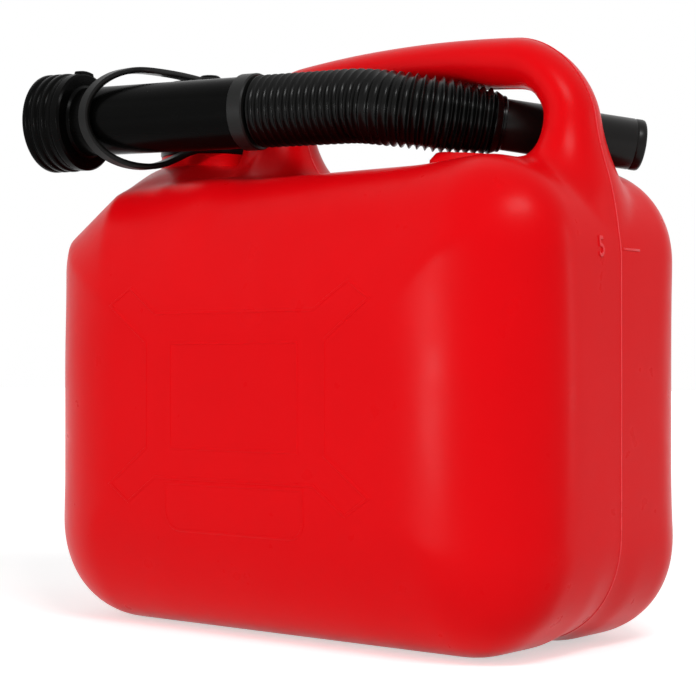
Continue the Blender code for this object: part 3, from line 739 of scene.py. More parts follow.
    def net(self, cell: float) -> tuple[np.ndarray, np.ndarray]:
        """A net over the zero level.

        Args:
            cell: The size of its cells.

        Returns:
            Its points and its quads, facing out.
        """
        reach = np.array([self.width / 2, self.depth / 2, 0.0]) + 2 * cell
        low = np.array([-reach[0], -reach[1], -2 * cell])
        high = np.array([reach[0], reach[1], self.handle_top + 2 * cell])
        counts = np.ceil((high - low) / cell).astype(int)
        ticks = [np.linspace(low[axis], high[axis], counts[axis] + 1) for axis in range(3)]
        grid = np.stack(np.meshgrid(*ticks, indexing="ij"), axis=-1)
        value = self.field(grid)
        inside = value < 0
        total = np.zeros((*counts, 3))
        hits = np.zeros(counts)
        found = []
        for axis in range(3):
            near = tuple(slice(0, counts[a]) if a == axis else slice(None) for a in range(3))
            far = tuple(slice(1, None) if a == axis else slice(None) for a in range(3))
            crossed = inside[near] != inside[far]
            share = np.where(crossed, value[near] / np.where(crossed, value[near] - value[far], 1), 0)
            spot = np.where(crossed[..., None], grid[near] + share[..., None] * (grid[far] - grid[near]), 0)
            others = [(axis + 1) % 3, (axis + 2) % 3]
            for first in (0, 1):
                for second in (0, 1):
                    picked: list[slice] = [slice(0, counts[a]) for a in range(3)]
                    picked[others[0]] = slice(first, first + counts[others[0]])
                    picked[others[1]] = slice(second, second + counts[others[1]])
                    total += spot[tuple(picked)]
                    hits += crossed[tuple(picked)]
            found.append((others, crossed, inside[near]))
        number = np.full(counts, -1)
        used = hits > 0
        number[used] = np.arange(np.count_nonzero(used))
        quads = [self._quads(number, *crossing) for crossing in found]
        return total[used] / hits[used][:, None], np.concatenate(quads)

    @staticmethod
    def _quads(number: np.ndarray, others: list[int], crossed: np.ndarray, inside: np.ndarray) -> np.ndarray:
        """The quads round each crossed grid edge of one direction.

        Args:
            number: The point's number in each cell.
            others: The two directions square to the edges.
            crossed: Which edges cross the surface.
            inside: Whether their lower end is inside.

        Returns:
            The quads.
        """
        places = np.argwhere(crossed)
        corners = []
        for first, second in ((-1, -1), (0, -1), (0, 0), (-1, 0)):
            cell = places.copy()
            cell[:, others[0]] += first
            cell[:, others[1]] += second
            corners.append(number[tuple(cell.T)])
        quads = np.stack(corners, axis=1)
        back = ~inside[tuple(places.T)]
        quads[back] = quads[back][:, ::-1]
        return quads

    def surface(self, cell: float) -> tuple[np.ndarray, np.ndarray]:
        """An evenly spread net on the zero level.

        Args:
            cell: The size of its cells.

        Returns:
            Its points and quads.
        """
        points, quads = self.net(cell)
        points = self.settled(points)
        for _ in range(3):
            middles = points[quads].mean(axis=1)
            total = np.zeros_like(points)
            uses = np.zeros(len(points))
            for corner in range(4):
                np.add.at(total, quads[:, corner], middles)
                np.add.at(uses, quads[:, corner], 1)
            points = self.settled(total / uses[:, None], rounds=2)
        return points, quads


@dataclass
class CanBody:
    """The can's moulding: its shell, turned neck, parting line, raised panel and level mark."""

    form: CanForm = field(default_factory=CanForm)
    cell: float = 0.0026
    wall: float = 0.002
    bore_radius: float = 0.0152
    neck_top: float = 0.2360
    pedestal_radius: float = 0.0222
    pedestal_top: float = 0.2075
    thread_start: float = 0.2165
    thread_turns: float = 3.0
    rest_point: tuple[float, float] = (0.067, -0.012)
    rest_size: Point = (0.028, 0.012, 0.0087)
    rest_start: float = 0.35
    rest_steepness: float = 1.8
    rest_angle: float = math.radians(35.0)
    rest_clearance: float = 0.0007
    rest_sides: int = 96
    rest_squareness: float = 0.5
    rest_reaches: Sequence[float] = (1.0, 0.97, 0.94, 0.90, 0.86, 0.82, 0.78, 0.72, 0.62, 0.50, 0.38, 0.26,
                                     0.14, 0.03)
    seam_width: float = 0.0008
    seam_height: float = 0.0003
    line_width: float = 0.0018
    line_height: float = 0.0002
    ridge_step: float = 0.003
    panel_middle: tuple[float, float] = (-0.0040, 0.0998)
    frame_arm: Profile = ((0.0430, 0.0340), (0.0590, 0.0450), (0.0700, 0.0378), (0.0485, 0.0222))
    square_half: tuple[float, float] = (0.0345, 0.0215)
    field_half: float = 0.0375
    field_drop: tuple[float, float] = (0.0360, 0.0555)
    field_corner: float = 0.0075
    digit_place: tuple[float, float] = (-0.0143, 0.1536)
    digit_size: float = 0.0112
    digit_narrowing: float = 0.75
    digit_depth: float = 0.0004
    digit_bevel: float = 0.0001
    mark_height: float = 0.1571
    line_span: tuple[float, float] = (0.0018, 0.0146)
    line_taper: tuple[float, float] = (0.0006, 0.3)
    line_section: Profile = ((-0.0006, -0.0006), (0.0004, -0.0004), (0.0005, 0.0), (0.0004, 0.0004),
                             (-0.0006, 0.0006))

    def build(self, spout: "Spout") -> None:
        """Build and place every piece of the moulding.

        Args:
            spout: The stowed spout, whose hose lies in the can's cradle.
        """
        shell = self.shell()
        settle_on(shell, Body.CAN, ["can_body"])
        settle_on(self.neck(), Body.CAN)
        settle_on(self.rest(spout), Body.CAN)
        settle_on(self.seam(shell), Body.CAN)
        settle_on(self.panel(), Body.CAN)
        settle_on(self.digit(), Body.CAN)
        settle_on(self.level_line(), Body.CAN)

    def shell(self) -> bpy.types.Object:
        """The hollow shell, open inside the neck.

        Returns:
            The shell.
        """
        points, quads = self.form.surface(self.cell)
        middles = points[quads].mean(axis=1)
        in_neck = np.hypot(middles[:, 0] - NECK_X, middles[:, 1]) < self.bore_radius + THREAD_HEIGHT
        quads = quads[~(in_neck & (middles[:, 2] > self.form.top))]
        used = np.unique(quads)
        renumbered = np.full(len(points), -1)
        renumbered[used] = np.arange(len(used))
        mesh = bpy.data.meshes.new("can_shell")
        mesh.from_pydata(points[used].tolist(), [], renumbered[quads].tolist())
        shell = add_piece("can_shell", mesh, RED_SKIN)
        wall = shell.modifiers.new("wall", "SOLIDIFY")
        wall.thickness = self.wall
        wall.offset = -1
        wall.use_quality_normals = True
        return shell

    def neck(self) -> bpy.types.Object:
        """The pedestal and the threaded neck, turned as one.

        Returns:
            The neck.
        """
        foot = self.form.mound_top - self.form.mound_round * 0.4
        profile = ((self.bore_radius, foot), (self.pedestal_radius + 0.001, foot),
                   (self.pedestal_radius, self.form.mound_top + 0.0006),
                   (self.pedestal_radius, self.pedestal_top), (NECK_RADIUS, self.pedestal_top),
                   (NECK_RADIUS, self.neck_top), (self.bore_radius, self.neck_top))
        work = MeshWork().turn(profile, NECK_AXIS)
        work.helix(NECK_AXIS, NECK_RADIUS, THREAD_HEIGHT, self.thread_start, self.thread_turns)
        return add_piece("can_neck", work.mesh("can_neck"), RED_SKIN, edge=0.0005)

    def rest(self, spout: "Spout") -> bpy.types.Object:
        """The moulded block below the hose, hollowed to the hose's round.

        Args:
            spout: The stowed spout.

        Returns:
            The block.
        """
        cos, sin = math.cos(self.rest_angle), math.sin(self.rest_angle)
        length, width, height = self.rest_size
        foot_level = self.form.top - self.form.saddle_depth
        rings = []
        for reach in self.rest_reaches:
            ring = []
            for turn in turns_round(self.rest_sides):
                across, over = (math.copysign(abs(share) ** self.rest_squareness, share) * reach * size / 2
                                for share, size in ((math.cos(turn), length), (math.sin(turn), width)))
                x = self.rest_point[0] + across * cos - over * sin
                y = self.rest_point[1] + across * sin + over * cos
                level = foot_level + height * min(1.0, self.rest_start + self.rest_steepness * (1 - reach))
                ring.append(Vector((x, y, min(level, spout.underside(x, y, self.rest_clearance)))))
            rings.append(ring)
        foot = [Vector((spot.x, spot.y, foot_level - 0.001)) for spot in rings[0]]
        return add_piece("spout_rest", MeshWork().skin([foot, *rings]).mesh("spout_rest"), RED_SKIN)

    def seam(self, shell: bpy.types.Object) -> bpy.types.Object:
        """The fine ridge of the mould's parting line, where the shell crosses the middle plane.

        Args:
            shell: The shell.

        Returns:
            The ridge.
        """
        work = MeshWork()
        for spots, closed in self._middle_lines(shell.data):
            line = np.array(spots)
            line[:, 1] = 0.0
            line = self.form.settled(line)
            last = len(line) - 1
            rings = []
            for place, spot in enumerate(line):
                if closed:
                    ahead = line[(place + 1) % len(line)] - line[place - 1]
                else:
                    ahead = line[min(place + 1, last)] - line[max(place - 1, 0)]
                out = np.array([ahead[2], 0.0, -ahead[0]]) / np.hypot(ahead[0], ahead[2])
                rings.append([Vector(spot + self.seam_height * math.cos(turn) * out
                                     + [0.0, self.seam_width / 2 * math.sin(turn), 0.0])
                              for turn in turns_round(8)])
            work.skin(rings, joined=closed)
        # The ridge wears the lighter red, a painted highlight along the parting line
        return add_piece("parting_line", work.mesh("parting_line"), RED_PAINTED_HIGHLIGHT)

    @staticmethod
    def _middle_lines(mesh: bpy.types.Mesh) -> list[tuple[list[Point], bool]]:
        """The lines in which a mesh crosses its middle plane.

        Args:
            mesh: The mesh.

        Returns:
            Each line's points in order, and whether it closes on itself.
        """
        shape = bmesh.new()
        shape.from_mesh(mesh)
        clear_of_points = (0.0, 0.0004, 0.0)
        cut = bmesh.ops.bisect_plane(shape, geom=shape.verts[:] + shape.edges[:] + shape.faces[:],
                                     plane_co=clear_of_points, plane_no=(0, 1, 0))
        beside: dict[bmesh.types.BMVert, list[bmesh.types.BMVert]] = {}
        for edge in cut["geom_cut"]:
            if isinstance(edge, bmesh.types.BMEdge):
                first, second = edge.verts
                beside.setdefault(first, []).append(second)
                beside.setdefault(second, []).append(first)
        lines, seen = [], set()
        for start in sorted(beside, key=lambda spot: len(beside[spot])):
            if start in seen:
                continue
            line, spot = [], start
            while spot is not None:
                seen.add(spot)
                line.append(tuple(spot.co))
                last, spot = spot, next((other for other in beside[spot] if other not in seen), None)
            lines.append((line, start in beside[last] and len(line) > 2))
        shape.free()
        return lines

    def panel(self) -> bpy.types.Object:
        """The faint raised lines on the front face: a crossed frame, a square in it and a field below.

        Returns:
            The lines, as one piece.
        """
        work = MeshWork()
        for line in (self.cross_line(), self.square_line(), self.field_line()):
            self._front_ridge(work, line)
        return add_piece("front_panel_lines", work.mesh("front_panel_lines"), RED_SKIN)

    def cross_line(self) -> list[tuple[float, float]]:
        """The frame whose four arms point to the face's corners.

        Returns:
            Its (x, z) corners.
        """
        middle_x, middle_z = self.panel_middle
        corners = []
        for across, up, order in ((1, 1, 1), (1, -1, -1), (-1, -1, 1), (-1, 1, -1)):
            corners += [(middle_x + across * x, middle_z + up * z) for x, z in self.frame_arm[::order]]
        return corners

    def square_line(self) -> list[tuple[float, float]]:
        """The square inside the frame.

        Returns:
            Its (x, z) corners.
        """
        middle_x, middle_z = self.panel_middle
        half_x, half_z = self.square_half
        return [(middle_x + across * half_x, middle_z + up * half_z)
                for across, up in ((1, 1), (1, -1), (-1, -1), (-1, 1))]

    def field_line(self) -> list[tuple[float, float]]:
        """The field below the frame, whose lower corners are round.

        Returns:
            Its (x, z) corners.
        """
        middle_x, middle_z = self.panel_middle
        high, low = (middle_z - drop for drop in self.field_drop)
        half, corner = self.field_half, self.field_corner
        arc = [(math.sin(turn), math.cos(turn)) for turn in np.linspace(0, math.pi / 2, 7)]
        right = [(middle_x + half - corner + corner * out, low + corner - corner * down)
                 for out, down in reversed(arc)]
        left = [(middle_x - half + corner - corner * out, low + corner - corner * down) for out, down in arc]
        return [(middle_x + half, high), *right, *left, (middle_x - half, high)]

    def _front_ridge(self, work: MeshWork, corners: Sequence[tuple[float, float]]) -> None:
        """Add a low rounded ridge along a closed line on the front face.

        Args:
            work: What the ridge is added to.
            corners: The (x, z) corners of the line.
        """
        section = ((-1.0, -0.0003), (-0.6, 0.75 * self.line_height), (0.0, self.line_height),
                   (0.6, 0.75 * self.line_height), (1.0, -0.0003))
        spots = [np.array(corner) for corner in corners]
        rings = []
        for place, spot in enumerate(spots):
            onward = spots[(place + 1) % len(spots)]
            before = (spot - spots[place - 1]) / np.linalg.norm(spot - spots[place - 1])
            after = (onward - spot) / np.linalg.norm(onward - spot)
            mitre = np.array([-(before + after)[1], (before + after)[0]])
            mitre = mitre / mitre.dot([-after[1], after[0]])
            square = np.array([-after[1], after[0]])
            count = max(1, round(float(np.linalg.norm(onward - spot)) / self.ridge_step))
            for step in range(count):
                side = mitre if step == 0 else square
                middle = spot + (onward - spot) * step / count
                across = np.array([middle + side * share * self.line_width / 2 for share, _ in section])
                front = self.form.face_at(across[:, 0], across[:, 1], 1, -1)
                rings.append([Vector((x, y - height, z))
                              for (x, z), y, (_, height) in zip(across, front, section)])
        work.skin(rings, joined=True)

    def digit(self) -> bpy.types.Object:
        """The raised figure of the level mark, on the narrow side.

        Returns:
            The figure.
        """
        letters = bpy.data.curves.new("level_digit", "FONT")
        letters.body = "5"
        letters.size = self.digit_size
        letters.extrude = self.digit_depth
        letters.bevel_depth = self.digit_bevel
        letters.align_x = "CENTER"
        guide = bpy.data.objects.new("digit_guide", letters)
        mesh = bpy.data.meshes.new_from_object(guide)
        bpy.data.objects.remove(guide)
        flat = np.array([vert.co[:] for vert in mesh.vertices])
        y = self.digit_place[0] + self.digit_narrowing * flat[:, 0]
        z = self.digit_place[1] + flat[:, 1]
        side = self.form.face_at(y, z, 0, 1)
        for vert, *place in zip(mesh.vertices, side + flat[:, 2], y, z):
            vert.co = place
        # The figure wears the lighter red, a painted highlight on its strokes
        return add_piece("level_digit", mesh, RED_PAINTED_HIGHLIGHT)

    def level_line(self) -> bpy.types.Object:
        """The raised line that the figure belongs to.

        Returns:
            The line.
        """
        low, high = self.line_span
        taper, end_share = self.line_taper
        rings = []
        for y, share in ((low, end_share), (low + taper, 1.0), (high - taper, 1.0), (high, end_share)):
            x = float(self.form.face_at(np.array([y]), np.array([self.mark_height]), 0, 1)[0])
            rings.append([Vector((x + out * share, y, self.mark_height + up * share))
                          for out, up in self.line_section])
        # The line wears the lighter red, a painted highlight along it
        return add_piece("level_line", MeshWork().skin(rings).mesh("level_line"), RED_PAINTED_HIGHLIGHT)


@dataclass
class Cap:
    """The screw cap with its washer."""

    radius: float = 0.0223
    bore_radius: float = 0.0196
    bottom: float = 0.2111
    top: float = 0.2410
    roof: float = 0.0024
    ribs: int = 30
    rib_height: float = 0.0007
    stud_radius: float = 0.0034
    head_radius: float = 0.0049
    head_height: float = 0.0017
    ring_thickness: float = 0.0026
    thread_start: float = 0.2145
    thread_turns: float = 2.0
    rib_steps: int = 8

    def build(self) -> None:
        """Build and place the cap and its washer."""
        under_head = self.top + GAP + self.ring_thickness + GAP
        profile = ((0.0, self.top - self.roof), (self.bore_radius, self.top - self.roof),
                   (self.bore_radius, self.bottom), (self.radius, self.bottom),
                   (self.radius, self.top - 0.0015), (self.radius - 0.0004, self.top - 0.0006),
                   (self.radius - 0.0015, self.top), (self.stud_radius, self.top),
                   (self.stud_radius, under_head), (self.head_radius, under_head),
                   (self.head_radius, under_head + 0.4 * self.head_height),
                   (self.head_radius - 0.0008, under_head + 0.8 * self.head_height),
                   (0.0, under_head + self.head_height))
        work = MeshWork().turn(profile, NECK_AXIS, sides=self.rib_steps * self.ribs, swell=self._rib)
        work.helix(NECK_AXIS, self.bore_radius, -THREAD_HEIGHT, self.thread_start, self.thread_turns)
        settle_on(add_piece("cap_shell", work.mesh("cap_shell"), GLOSSY_BLACK, edge=0.0002), Body.CAP,
                  ["screw_cap"])
        low = self.top - self.roof - GAP - WASHER_THICKNESS
        seal = washer("cap_washer", self.bore_radius - GAP, low, NECK_AXIS)
        settle_on(seal, Body.CAP_CARRIER, ["cap_seal"])

    def _rib(self, side: int, radius: float) -> float:
        """What the grip ribs add to a radius of the cap, which is never more than nothing.

        Args:
            side: The step round the cap.
            radius: The radius there.

        Returns:
            What is added.
        """
        if radius < self.radius - 0.0010:
            return 0.0
        return -self.rib_height * (0.5 - 0.5 * math.cos(math.tau * side / self.rib_steps)) ** 1.5


@dataclass
class Spout:
    """The stowed spout from its threaded socket to its nozzle's tip, laid along one route."""

    corners: Sequence[Point] = ((-0.12596, -0.06003, 0.22064), (0.0284, -0.0315, 0.2180),
                                (0.0495, -0.0275, 0.2150), (0.1174, 0.0405, 0.2017))
    bend_radii: Sequence[float] = (0.085, 0.050)
    route_step: float = 0.0006
    socket_length: float = 0.0152
    flange_length: float = 0.0048
    tube_length: float = 0.0823
    collar_length: float = 0.0073
    hose_length: float = 0.1020
    cuff_length: float = 0.0046
    spigot_length: float = 0.0085
    socket_radius: float = 0.0218
    socket_bore: float = 0.0196
    socket_floor: float = 0.0025
    ridges: int = 3
    ridge_pitch: float = 0.0045
    ridge_height: float = 0.0009
    flange_radius: float = 0.0215
    tube_radius: float = 0.0150
    tube_bore: float = 0.0104
    spigot_radius: float = 0.0115
    collar_radius: float = 0.0161
    hose_ribs: int = 31
    hose_radius: float = 0.0152
    hose_end_radius: float = 0.0136
    hose_wall: float = 0.0006
    hose_sides: int = 56
    bend_margins: tuple[float, float] = (0.012, 0.003)
    rib_height: float = 0.0017
    tapered_ribs: int = 6
    nozzle_radius: float = 0.0104
    nozzle_bore: float = 0.0086
    band_length: float = 0.0035
    cuff_radius: float = 0.0127
    step_radius: float = 0.0114
    thread_start: float = 0.004
    thread_turns: float = 1.5
    lug_half_turn: float = 0.24
    ridge_section: Profile = ((0.06, 0.3), (0.14, 0.8), (0.26, 1.0), (0.50, 1.0), (0.64, 0.8), (0.74, 0.3),
                              (0.80, 0.0), (0.99, 0.0))
    rib_section: Profile = ((0.02, 0.02), (0.14, 0.10), (0.30, 0.50), (0.42, 0.88), (0.47, 1.00),
                            (0.53, 1.00), (0.58, 0.88), (0.70, 0.50), (0.86, 0.10))
    route: Route = field(init=False)

    def __post_init__(self) -> None:
        """Lay the route."""
        self.route = Route(rounded_route(self.corners, self.bend_radii, self.route_step))

    @property
    def collar_start(self) -> float:
        """Where the collar starts along the route."""
        return self.socket_length + self.flange_length + self.tube_length + GAP

    @property
    def hose_start(self) -> float:
        """Where the hose starts along the route."""
        return self.collar_start + self.collar_length + GAP

    @property
    def cuff_start(self) -> float:
        """Where the cuff starts along the route."""
        return self.hose_start + self.hose_length + GAP

    def build(self) -> None:
        """Build and place every piece of the spout."""
        settle_on(self.base(), Body.SPOUT, ["spout_base"])
        settle_on(self.washer(), Body.SPOUT, ["spout_seal"])
        settle_on(self.collar(), Body.SPOUT, ["hose_collar"])
        start = tuple(self.route.point(self.hose_start + self.bend_margins[0]))
        end = tuple(self.route.point(self.cuff_start - self.spigot_length - self.bend_margins[1]))
        bend_between(self.hose(), (Body.SPOUT, Body.NOZZLE_END), ["flex_hose"])
        settle_on(self.cuff(), Body.NOZZLE_END, ["nozzle_cuff"])
        settle_on(self.nozzle(), Body.NOZZLE_END, ["nozzle"])

    def base(self) -> bpy.types.Object:
        """The rigid base: threaded socket with ridges outside, flange, tube and spigot.

        Returns:
            The base.
        """
        front = self.socket_length + self.flange_length
        floor = front - self.socket_floor
        tube_end = front + self.tube_length
        spigot_end = self.hose_start + self.spigot_length
        valley = self.socket_radius - self.ridge_height
        outline = [(self.socket_bore, 0.0), (valley, 0.0)]
        for ridge in range(self.ridges):
            start = ridge * self.ridge_pitch
            outline += [(valley + share * self.ridge_height, start + place * self.ridge_pitch)
                        for place, share in self.ridge_section]
        outline += [(valley, self.socket_length - 0.0010), (valley + 0.0003, self.socket_length - 0.0006),
                    (self.flange_radius - 0.0006, self.socket_length),
                    (self.flange_radius, self.socket_length + 0.0007),
                    (self.flange_radius, front - 0.0009), (self.flange_radius - 0.0009, front),
                    (self.tube_radius + 0.0010, front), (self.tube_radius, front + 0.0010),
                    (self.tube_radius, tube_end), (self.spigot_radius, tube_end),
                    (self.spigot_radius, spigot_end), (self.tube_bore, spigot_end), (self.tube_bore, floor),
                    (self.socket_bore, floor)]
        axis = self.route.axis(0.0)
        work = MeshWork().turn(outline, axis, sides=128)
        work.helix(axis, self.socket_bore, -THREAD_HEIGHT, self.thread_start, self.thread_turns)
        self._lug(work, axis)
        mesh = work.mesh("spout_socket_and_tube")
        return add_piece("spout_socket_and_tube", mesh, GLOSSY_BLACK, edge=0.0002)

    def _lug(self, work: MeshWork, axis: Axis) -> None:
        """Add the small lug on top of the flange's rim.

        Args:
            work: What it is added to.
            axis: The socket's axis.
        """
        rings = []
        for height in (0.1, 0.2, 0.8, 0.9):
            along = self.socket_length + height * self.flange_length
            lift = 0.0007 if height in (0.1, 0.9) else 0.0011
            ring = [axis.at(self.flange_radius - 0.001, math.pi / 2 + turn, along)
                    for turn in (-self.lug_half_turn, self.lug_half_turn)]
            ring += [axis.at(self.flange_radius + lift, math.pi / 2 + turn, along)
                     for turn in (0.20, 0.10, 0.0, -0.10, -0.20)]
            rings.append(ring)
        work.skin(rings)

    def washer(self) -> bpy.types.Object:
        """The washer on the socket's floor."""
        low = self.socket_length + self.flange_length - self.socket_floor - GAP - WASHER_THICKNESS
        return washer("spout_washer", self.socket_bore - GAP, low, self.route.axis(0.0))

    def collar(self) -> bpy.types.Object:
        """The sleeve between tube and hose.

        Returns:
            The sleeve.
        """
        bore = self.spigot_radius + GAP
        outline = ((bore, 0.0), (self.collar_radius - 0.0006, 0.0), (self.collar_radius, 0.0006),
                   (self.collar_radius, self.collar_length - 0.0006),
                   (self.collar_radius - 0.0006, self.collar_length), (bore, self.collar_length))
        work = MeshWork().turn(outline, self.route.axis(self.collar_start))
        return add_piece("matt_collar", work.mesh("matt_collar"), COLLAR_GREY)

    def crest(self, share: float) -> float:
        """The hose's radius over a rib, at a share of its length."""
        taper = max(0.0, 1 - (1 - share) * self.hose_ribs / self.tapered_ribs)
        return self.hose_radius + (self.hose_end_radius - self.hose_radius) * taper

    def underside(self, x: float, y: float, clearance: float) -> float:
        """How low the hose reaches above a place, less a clearance.

        Args:
            x: The place's X.
            y: The place's Y.
            clearance: The room that is left round the hose.

        Returns:
            The height, or a large one where the hose is not overhead.
        """
        radius = self.hose_radius + clearance
        lengths = np.linspace(self.hose_start + self.hose_length / 2, self.route.lengths[-1], 160)
        spots = [self.route.point(length) for length in lengths]
        nearest = min(spots, key=lambda spot: math.hypot(spot.x - x, spot.y - y))
        aside = math.hypot(nearest.x - x, nearest.y - y)
        return nearest.z - math.sqrt(radius ** 2 - aside ** 2) if aside < radius else math.inf

    def hose(self) -> bpy.types.Object:
        """The ribbed hose: pointed ribs with a narrow crest, and its bore.

        Returns:
            The hose.
        """
        pitch = self.hose_length / self.hose_ribs
        outside = [(0.0, self.crest(0.0) - self.rib_height)]
        for rib in range(self.hose_ribs):
            for place, share in self.rib_section:
                along = (rib + place) / self.hose_ribs
                outside.append(((rib + place) * pitch, self.crest(along) - self.rib_height * (1 - share)))
        outside.append((self.hose_length, self.crest(1.0) - self.rib_height))
        inside = [(along, self.crest(along / self.hose_length) - self.rib_height - self.hose_wall)
                  for along in np.linspace(self.hose_length, 0.0, 60)]
        rings = [self.route.ring(self.hose_start + along, radius, self.hose_sides)
                 for along, radius in outside + inside]
        mesh = MeshWork().skin(rings, joined=True).mesh("ribbed_hose")
        return add_piece("ribbed_hose", mesh, HOSE_BLACK)

    def cuff(self) -> bpy.types.Object:
        """The cone and step that close the hose onto the nozzle.

        Returns:
            The cuff.
        """
        bore = self.nozzle_radius + GAP
        outline = ((bore, 0.0), (self.cuff_radius - 0.0003, 0.0), (self.cuff_radius, 0.0004),
                   (self.cuff_radius - 0.0002, 0.0010), (self.step_radius + 0.0002, 0.0028),
                   (self.step_radius - 0.0004, 0.0030), (self.step_radius - 0.0004, 0.0033),
                   (self.step_radius, 0.0035), (self.step_radius, self.cuff_length - 0.0003),
                   (self.step_radius - 0.0003, self.cuff_length), (bore, self.cuff_length))
        work = MeshWork().turn(outline, self.route.axis(self.cuff_start))
        return add_piece("hose_end_cuff", work.mesh("hose_end_cuff"), HOSE_BLACK)

    def nozzle(self) -> bpy.types.Object:
        """The straight nozzle with the band at its tip.

        Returns:
            The nozzle.
        """
        start = self.hose_start + self.hose_length - self.spigot_length
        length = self.route.lengths[-1] - start
        band = length - self.band_length
        radius = self.nozzle_radius
        outline = ((self.nozzle_bore, 0.0), (radius, 0.0), (radius, band - 0.0008),
                   (radius - 0.0003, band - 0.0004), (radius - 0.0001, band), (radius, band + 0.0003),
                   (radius, length - 0.0010), (radius - 0.0002, length - 0.0003), (radius - 0.0006, length),
                   (self.nozzle_bore + 0.0003, length), (self.nozzle_bore, length - 0.0003))
        work = MeshWork().turn(outline, self.route.axis(start))
        return add_piece("pouring_nozzle", work.mesh("pouring_nozzle"), NOZZLE_BLACK)


@dataclass
class Strap:
    """The flat band from the neck's ring, round the stowed spout, to the ring over the cap's stud."""

    spout: Spout
    width: float = 0.0050
    thickness: float = 0.0026
    ring_low: float = 0.2078
    ring_height: float = 0.0030
    ring_radius: float = 0.0225
    stud_ring_low: float = 0.2413
    stud_ring_radius: float = 0.0080
    stud_radius: float = 0.0034
    ring_side: float = math.radians(-35.0)
    loop_front_x: float = -0.0926
    loop_end_x: float = -0.0797
    loop_top: float = 0.24165
    loop_depth: float = 0.0222
    loop_slack: float = 0.0018
    loop_below: float = 0.0048
    bow: float = 0.0006
    lower_rise: tuple[float, float] = (0.15, 0.75)
    run_steps: int = 25
    loop_steps: int = 61
    smoothing_rounds: int = 27
    bend_heights: tuple[float, float] = (0.216, 0.2405)
    section: Profile = ((1, 0.4), (0.85, 1), (-0.85, 1), (-1, 0.4), (-1, -0.4), (-0.85, -1), (0.85, -1),
                        (1, -0.4))
    ring_edge: float = 0.0004

    def line(self) -> list[Vector]:
        """The middle of the band from the stud's ring to the neck's ring.

        Returns:
            Its points.
        """
        route = self.spout.route
        tube = next(route.point(length)
                    for length in np.arange(0, self.spout.tube_length, self.spout.route_step)
                    if route.point(length).x > self.loop_front_x)
        turn_y = tube.y - self.spout.tube_radius - self.loop_slack - self.thickness / 2 + self.loop_depth
        stud = (NECK_X, -0.8 * self.stud_ring_radius, self.stud_ring_low + self.thickness / 2)
        low = tube.z - self.spout.tube_radius - self.loop_below - self.thickness / 2
        reach = self.ring_radius - 0.3 * self.width
        ring = (NECK_X + reach * math.cos(self.ring_side), reach * math.sin(self.ring_side),
                self.ring_low + self.ring_height / 2)
        points = []
        for share in np.linspace(0, 1, self.run_steps)[:-1]:
            ease = share * share * (3 - 2 * share)
            points.append((stud[0] + (self.loop_end_x - stud[0]) * share,
                           stud[1] + (turn_y - stud[1]) * share,
                           stud[2] + (self.loop_top - stud[2]) * ease + self.bow * math.sin(math.pi * share)))
        middle, half = (self.loop_top + low) / 2, (self.loop_top - low) / 2
        for turn in np.linspace(math.pi / 2, 1.5 * math.pi, self.loop_steps):
            points.append((self.loop_end_x - (self.loop_front_x - self.loop_end_x) * math.cos(turn),
                           turn_y + self.loop_depth * math.cos(turn), middle + half * math.sin(turn)))
        for share in np.linspace(0, 1, self.run_steps)[1:]:
            points.append((self.loop_end_x + (ring[0] - self.loop_end_x) * share,
                           turn_y + (ring[1] - turn_y) * share,
                           low + (ring[2] - low) * float(Level.ramp(np.array(share), *self.lower_rise))))
        line = np.array(points)
        for _ in range(self.smoothing_rounds):
            line[1:-1] = (line[:-2] + 2 * line[1:-1] + line[2:]) / 4
        return [Vector(point) for point in line]

    def build(self) -> None:
        """Build and place the strap."""
        line = self.line()
        rings = []
        for place, point in enumerate(line):
            ahead = line[min(place + 1, len(line) - 1)] - line[max(place - 1, 0)]
            wide = Vector((1, 0, 0))
            wide = (wide - ahead * wide.dot(ahead) / ahead.length_squared).normalized() * (self.width / 2)
            thick = ahead.cross(wide).normalized() * (self.thickness / 2)
            rings.append([point + wide * across + thick * up
                          for across, up in self.section])
        work = MeshWork().skin(rings)
        for inner, outer, low, height in (
                (NECK_RADIUS + GAP, self.ring_radius, self.ring_low, self.ring_height),
                (self.stud_radius + GAP, self.stud_ring_radius, self.stud_ring_low, self.thickness)):
            high, edge = low + height, self.ring_edge
            work.turn(((inner, low), (outer - edge, low), (outer, low + edge), (outer, high - edge),
                       (outer - edge, high), (inner, high)), NECK_AXIS)
        strap = add_piece("tether_strap", work.mesh("tether_strap"), STRAP_BLACK)
        bend_between(strap, (Body.CAN, Body.CAP_CARRIER), ["cap_strap"])


@dataclass(frozen=True)
class Softbox:
    """A lamp with a rectangular face, turned to the can.

    Attributes:
        name: Its name.
        way: The way to it from the can's middle.
        distance: How far it stands from there.
        size: Its width and height.
        power: Its power in watts.
    """

    name: str
    way: Point
    distance: float
    size: tuple[float, float]
    power: float

    def build(self, middle: Vector) -> None:
        """Stand the lamp so that it faces the can.

        Args:
            middle: The can's middle.
        """
        light = bpy.data.lights.new(self.name, "AREA")
        light.shape = "RECTANGLE"
        light.size, light.size_y = self.size
        light.energy = self.power
        lamp = link(self.name, light)
        out = Vector(self.way).normalized()
        lamp.location = middle + out * self.distance
        lamp.rotation_mode = "QUATERNION"
        lamp.rotation_quaternion = out.to_track_quat("Z", "Y")


